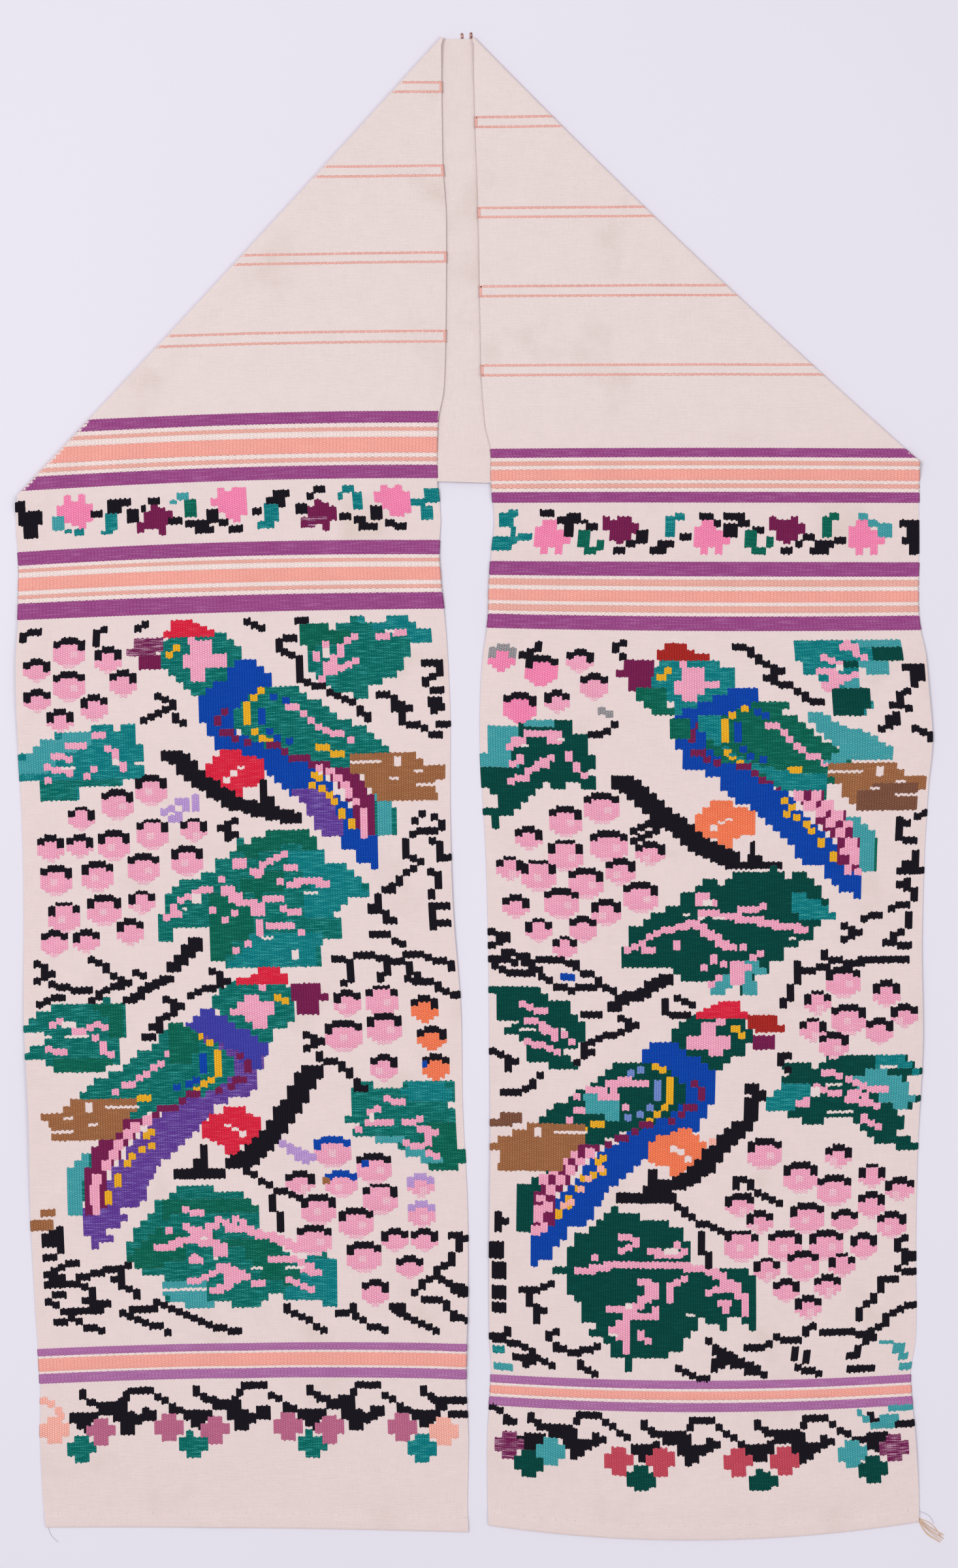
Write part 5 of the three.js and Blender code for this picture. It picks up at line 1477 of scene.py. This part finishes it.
VINE_REPEAT = 14.95
for i in range(4):
    draw_vine(left, i * VINE_REPEAT - 0.1, 113.3 - i * 0.05, i < 3)
    draw_vine(right, i * VINE_REPEAT, 113.4 + (1.2 if i in (1, 2) else 0.6), i < 3)
left.blocks("black", "51.6 56 115.4 116.2 51.8 53.4 116.2 117.2 53.4 56 117 118")
right.draw("black", "0.6 113.6 1.6 114.6 2.6 115.6 3.6 116.6")
Ball = namedtuple("Ball", "yarn column row")
LEFT_BALLS = (
    Ball("peach", 0.1, 117.6), Ball("leaf_green", 3.4, 120.4), Ball("mauve_rose", 6.1, 117.8),
    Ball("mauve_rose", 15.1, 117.6), Ball("leaf_green", 18, 120.2), Ball("mauve_rose", 20.9, 117.8),
    Ball("mauve_rose", 30.6, 117.4), Ball("leaf_green", 33.6, 120.2), Ball("mauve_rose", 36.1, 117.8),
    Ball("mauve_rose", 45.5, 117.6), Ball("teal", 48.2, 120.6), Ball("peach", 51, 118),
)
RIGHT_BALLS = (
    Ball("streaked_plum", 0.9, 117.4), Ball("deep_green", 3.6, 120.2), Ball("light_teal", 6.3, 118),
    Ball("rose_red", 15.2, 118.8), Ball("deep_green", 18.2, 121.6), Ball("rose_red", 20.8, 118.8),
    Ball("rose_red", 30.8, 118.8), Ball("deep_green", 33.9, 121.8), Ball("rose_red", 36.8, 119),
    Ball("light_teal", 45.9, 118.4), Ball("deep_green", 48.5, 121), Ball("streaked_plum", 51.2, 118.2),
)
for chart, balls in ((left, LEFT_BALLS), (right, RIGHT_BALLS)):
    for ball in balls:
        draw_ball(chart, ball.yarn, ball.column, ball.row)
left.draw("peach", "0.6 115 1.4 115.8 2.4 116.6|2.8 117.4")
right.blocks("light_teal", "48.8 49.4 114.2 115.2 49.4 50.4 115 115.8 50.4 53.4 115.8 117 51.4 54.2"
             " 115.2 116 52.8 56 113.4 114.6")
print("vine border drawn")

# %% [markdown]
# ## From chart to yarn
# Every unbroken run of one colour in a column of the chart is one rib. All ribs of a yarn from both
# legs make one piece with that yarn's finish, and its ribs in the stripes make a second piece.

# %% Ribs by yarn become pieces
inlay_ribs = {}
for chart in (left, right):
    for yarn, ribs in chart.ribs().items():
        inlay_ribs.setdefault(yarn, []).extend(ribs)


STRIPE_TAPER, STRIPE_STEP = 0.8, 4.5


def by_leg(ribs, step, taper=END_TAPER):
    """Lays the ribs of each leg that has any."""
    legs = [leg for leg in (LEFT, RIGHT) if any(rib.leg is leg for rib in ribs)]
    return [lay_ribs([rib for rib in ribs if rib.leg is leg], step, taper=taper) for leg in legs]


for yarn, ribs in inlay_ribs.items():
    add_ribs(yarn + "_inlay", yarn, by_leg(ribs, LONGEST_STEP))
for yarn, ribs in band_ribs.items():
    add_ribs(yarn + "_stripe", yarn, by_leg(ribs, STRIPE_STEP, STRIPE_TAPER))

# %% [markdown]
# ## Thin pink line pairs
# The plain middle of the towel has pairs of pale pink lines, three picks each. They run the whole
# width and turn back at the selvedge, which leaves a small loop at the end of each pair. They are
# ribs as short as the line is wide, on the same warp pairs as the stripes. Where the cloth is
# folded under, the same lines go under with it, and one pair shows upright on the under layer.

# %% Line pairs on both legs and on the under layer
LINE_WIDE = 2.8
LINE_TOOTH = 0.1
LINE_STEP, LINE_HEIGHT, LINE_TAPER = 3.0, 0.5, 0.3
LinePair = namedtuple("LinePair", "leg upper lower")
LINE_PAIRS = (
    LinePair(LEFT, 731.0, 721.5), LinePair(LEFT, 644.6, 634.4), LinePair(LEFT, 554.2, 544.7),
    LinePair(LEFT, 472.6, 461.7), LinePair(RIGHT, 700.4, 690.2), LinePair(RIGHT, 605.9, 596.4),
    LinePair(RIGHT, 524.3, 514.1), LinePair(RIGHT, 442.0, 431.8),
)
CENTRE_LINES = (((-18.4, 780.0), (2.0, 322.0)), ((-9.0, 780.0), (8.6, 322.0)))


def line_ribs(leg, start, end):
    """Short ribs along a line that runs from the first column's place to the last column's."""
    wide = COLUMNS / BAND_RIBS
    ribs = []
    for i in range(BAND_RIBS):
        middle = start + (end - start) * (i + 0.5) / BAND_RIBS
        tooth = LINE_TOOTH if i % 2 else -LINE_TOOTH
        ribs.append(Rib(leg, (i + 0.5) * wide, wide, middle - LINE_WIDE / 2 + tooth,
                        middle + LINE_WIDE / 2 + tooth, i))
    return ribs


line_parts = []
for pair in LINE_PAIRS:
    ribs = line_ribs(pair.leg, pair.upper, pair.upper) + line_ribs(pair.leg, pair.lower, pair.lower)
    selvedge = COLUMNS - 0.12 if pair.leg.side < 0 else 0.12
    ribs.append(Rib(pair.leg, selvedge, 0.3, pair.lower - 0.6, pair.upper + 0.6, 0))
    line_parts.append(lay_ribs(ribs, LINE_STEP, LINE_HEIGHT, taper=LINE_TAPER))
for top, bottom in CENTRE_LINES:
    ends = unlay(LEFT, np.array([top, bottom]), under=True)
    print("a centre line's ends on the flat cloth:", np.round(ends, 1).tolist())
    slope = (ends[1, 1] - ends[0, 1]) / (ends[1, 0] - ends[0, 0])
    first = ends[0, 1] - slope * ends[0, 0]
    ribs = line_ribs(LEFT, first, first + slope * CLOTH_WIDE)
    line_parts.append(lay_ribs(ribs, LINE_STEP, LINE_HEIGHT, taper=LINE_TAPER))
add_ribs("pink_lines", "line_pink", line_parts)

# %% [markdown]
# ## Hem stitches
# Both ends are turned under once and sewn down by hand. Only the small slanting stitches show on
# this side, one every eight millimetres or so, a little uneven.

# %% Stitches along both hems
STITCH_ABOVE_HEM = 13.6
STITCHES, STITCH_LONG = 54, 2.6


def hem_stitches(leg):
    hem = leg.weft[0].y
    ribs = []
    for i in range(STITCHES):
        column = (i + 0.7 + chance.uniform(-0.25, 0.25)) * COLUMNS / STITCHES
        middle = hem + STITCH_ABOVE_HEM + chance.uniform(-0.5, 0.5)
        ends = (middle - STITCH_LONG / 2, middle + STITCH_LONG / 2)
        ribs.append(Rib(leg, min(column, COLUMNS - 0.4), 0.1, *ends, i))
    return lay_ribs(ribs, 3.0, 0.3, 0.75)


add_ribs("hem_stitches", "cream", [hem_stitches(leg) for leg in (LEFT, RIGHT)])

# %% [markdown]
# ## Loose ends at the corners
# At the right leg's outer corner a small tail of uncut warp ends hangs out, darker and yellower than
# the cloth. Each end is a curve with a round bevel, bent through three given points and turned into a
# mesh. A hair-fine sewing thread also sticks out at three corners.

# %% The corner tail and the stray sewing threads
Strand = namedtuple("Strand", "thick root middle end")
TAIL = (
    Strand(1.3, (457.5, -760.2), (467.5, -769.5), (482.6, -779.6)),
    Strand(1.3, (457.5, -761.6), (464.5, -772.5), (479.0, -783.0)),
    Strand(1.2, (457.8, -759.4), (471.0, -769.0), (482.8, -775.8)),
    Strand(0.9, (457.6, -762.2), (465.5, -774.5), (476.2, -781.4)),
    Strand(0.8, (457.6, -758.4), (470.5, -764.5), (480.5, -777.6)),
    Strand(0.7, (457.4, -760.8), (468.0, -772.0), (481.2, -782.0)),
)
THREADS = (
    Strand(0.45, (457.4, -751.0), (467.5, -755.5), (473.2, -763.6)),
    Strand(0.45, (-450.6, -760.0), (-447.2, -775.0), (-439.2, -783.4)),
    Strand(0.6, (-28.4, -768.8), (-25.2, -767.8), (-22.6, -766.4)),
)


def add_strand(strand):
    half = strand.thick / 2
    bpy.ops.curve.primitive_bezier_curve_add()
    curve = bpy.context.object
    curve.data.dimensions = "3D"
    curve.data.bevel_depth = half * MM
    curve.data.bevel_resolution = 1
    curve.data.use_fill_caps = True
    curve.data.resolution_u = 8
    curve.data.splines[0].bezier_points.add(1)
    for point, place in zip(curve.data.splines[0].bezier_points, strand[1:]):
        point.co = to_metres(np.array((*place, half + 0.05)))
        point.handle_left_type = "AUTO"
        point.handle_right_type = "AUTO"
    bpy.ops.object.convert(target="MESH")
    return bpy.context.object


def add_strands(name, strands):
    made = [add_strand(strand) for strand in strands]
    for strand in made:
        strand.select_set(True)
    bpy.context.view_layer.objects.active = made[0]
    bpy.ops.object.join()
    piece = bpy.context.object
    bpy.ops.object.shade_smooth()
    bpy.ops.object.transform_apply(location=True, rotation=True, scale=True)
    return finish_piece(piece, name)


def thread_finish(name, colour):
    thread = Finish(name)
    place = thread.node("ShaderNodeTexCoord", {}, {}, "Object")
    fibre = thread.node("ShaderNodeTexNoise", {}, {"Vector": place, "Scale": 900.0}, "Fac")
    thread.put(thread.surface.inputs["Base Color"], thread.dim(linear(*colour), 0.8 + fibre * 0.4))
    thread.surface.inputs["Roughness"].default_value = 0.85
    return thread.material


corner_tail = add_strands("corner_tail_ends", TAIL)
corner_tail.data.materials.append(thread_finish("warp_ends", (221, 190, 164)))
loose_threads = add_strands("loose_threads", THREADS)
loose_threads.data.materials.append(thread_finish("sewing_thread", (196, 184, 196)))
print("corner tail:", len(corner_tail.data.polygons), "faces")

# %% [markdown]
# ## Floor, light and camera
# The towel lies on a plain pale lavender sheet and is photographed from straight above. The light
# is soft and comes from two sides: more from the upper left, so the shadows are faint and fall a
# little to the right and below.

# %% The pale floor
FLOOR_TONE = (233, 229, 241)


def floor_finish():
    paper = Finish("pale_floor")
    place = paper.node("ShaderNodeTexCoord", {}, {}, "Object")
    soft = paper.node("ShaderNodeTexNoise", {}, {"Vector": place, "Scale": 1.6, "Detail": 1.0}, "Fac")
    tone = 0.985 + (soft - 0.5) * 0.05
    paper.put(paper.surface.inputs["Base Color"], paper.dim(linear(*FLOOR_TONE), tone))
    paper.surface.inputs["Roughness"].default_value = 0.9
    return paper.material


bpy.ops.mesh.primitive_plane_add(size=6)
floor = bpy.context.object
floor.name = "floor"
floor.data.materials.append(floor_finish())

# %% Soft light from two sides
Lamp = namedtuple("Lamp", "name place size power")
LAMPS = (
    Lamp("key_light", (-2.2, 0.9, 3.6), 1.3, 59),
    Lamp("fill_light", (2.4, -0.3, 3.4), 1.6, 28),
)
STUDIO_LIGHT = 0.61
for lamp in LAMPS:
    bpy.ops.object.light_add(type="AREA", location=lamp.place)
    light = bpy.context.object
    light.name = lamp.name
    light.data.size = lamp.size
    light.data.energy = lamp.power
    light.rotation_euler = (-Vector(lamp.place)).to_track_quat("-Z", "Y").to_euler()
scene = bpy.context.scene
scene.world = bpy.data.worlds.new("studio")
scene.world.use_nodes = True
backdrop = scene.world.node_tree.nodes["Background"]
backdrop.inputs["Color"].default_value = (1, 1, 1, 1)
backdrop.inputs["Strength"].default_value = STUDIO_LIGHT
scene.view_settings.view_transform = "Standard"

# %% Camera straight above
CAMERA_PLACE = (-0.001, 0.0061, 3.1753)
SENSOR, LENS = 36, 70
bpy.ops.object.camera_add(location=CAMERA_PLACE, rotation=(0, 0, 0))
camera = bpy.context.object
camera.data.sensor_fit = "VERTICAL"
camera.data.sensor_height = SENSOR
camera.data.lens = LENS
scene.camera = camera
print("the picture is", round(CAMERA_PLACE[2] * SENSOR / LENS, 3), "m high on the floor")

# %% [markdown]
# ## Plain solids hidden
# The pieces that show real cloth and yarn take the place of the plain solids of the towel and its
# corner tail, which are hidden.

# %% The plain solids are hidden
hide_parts("towel")
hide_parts("corner_tail")
bpy.ops.object.select_all(action="DESELECT")
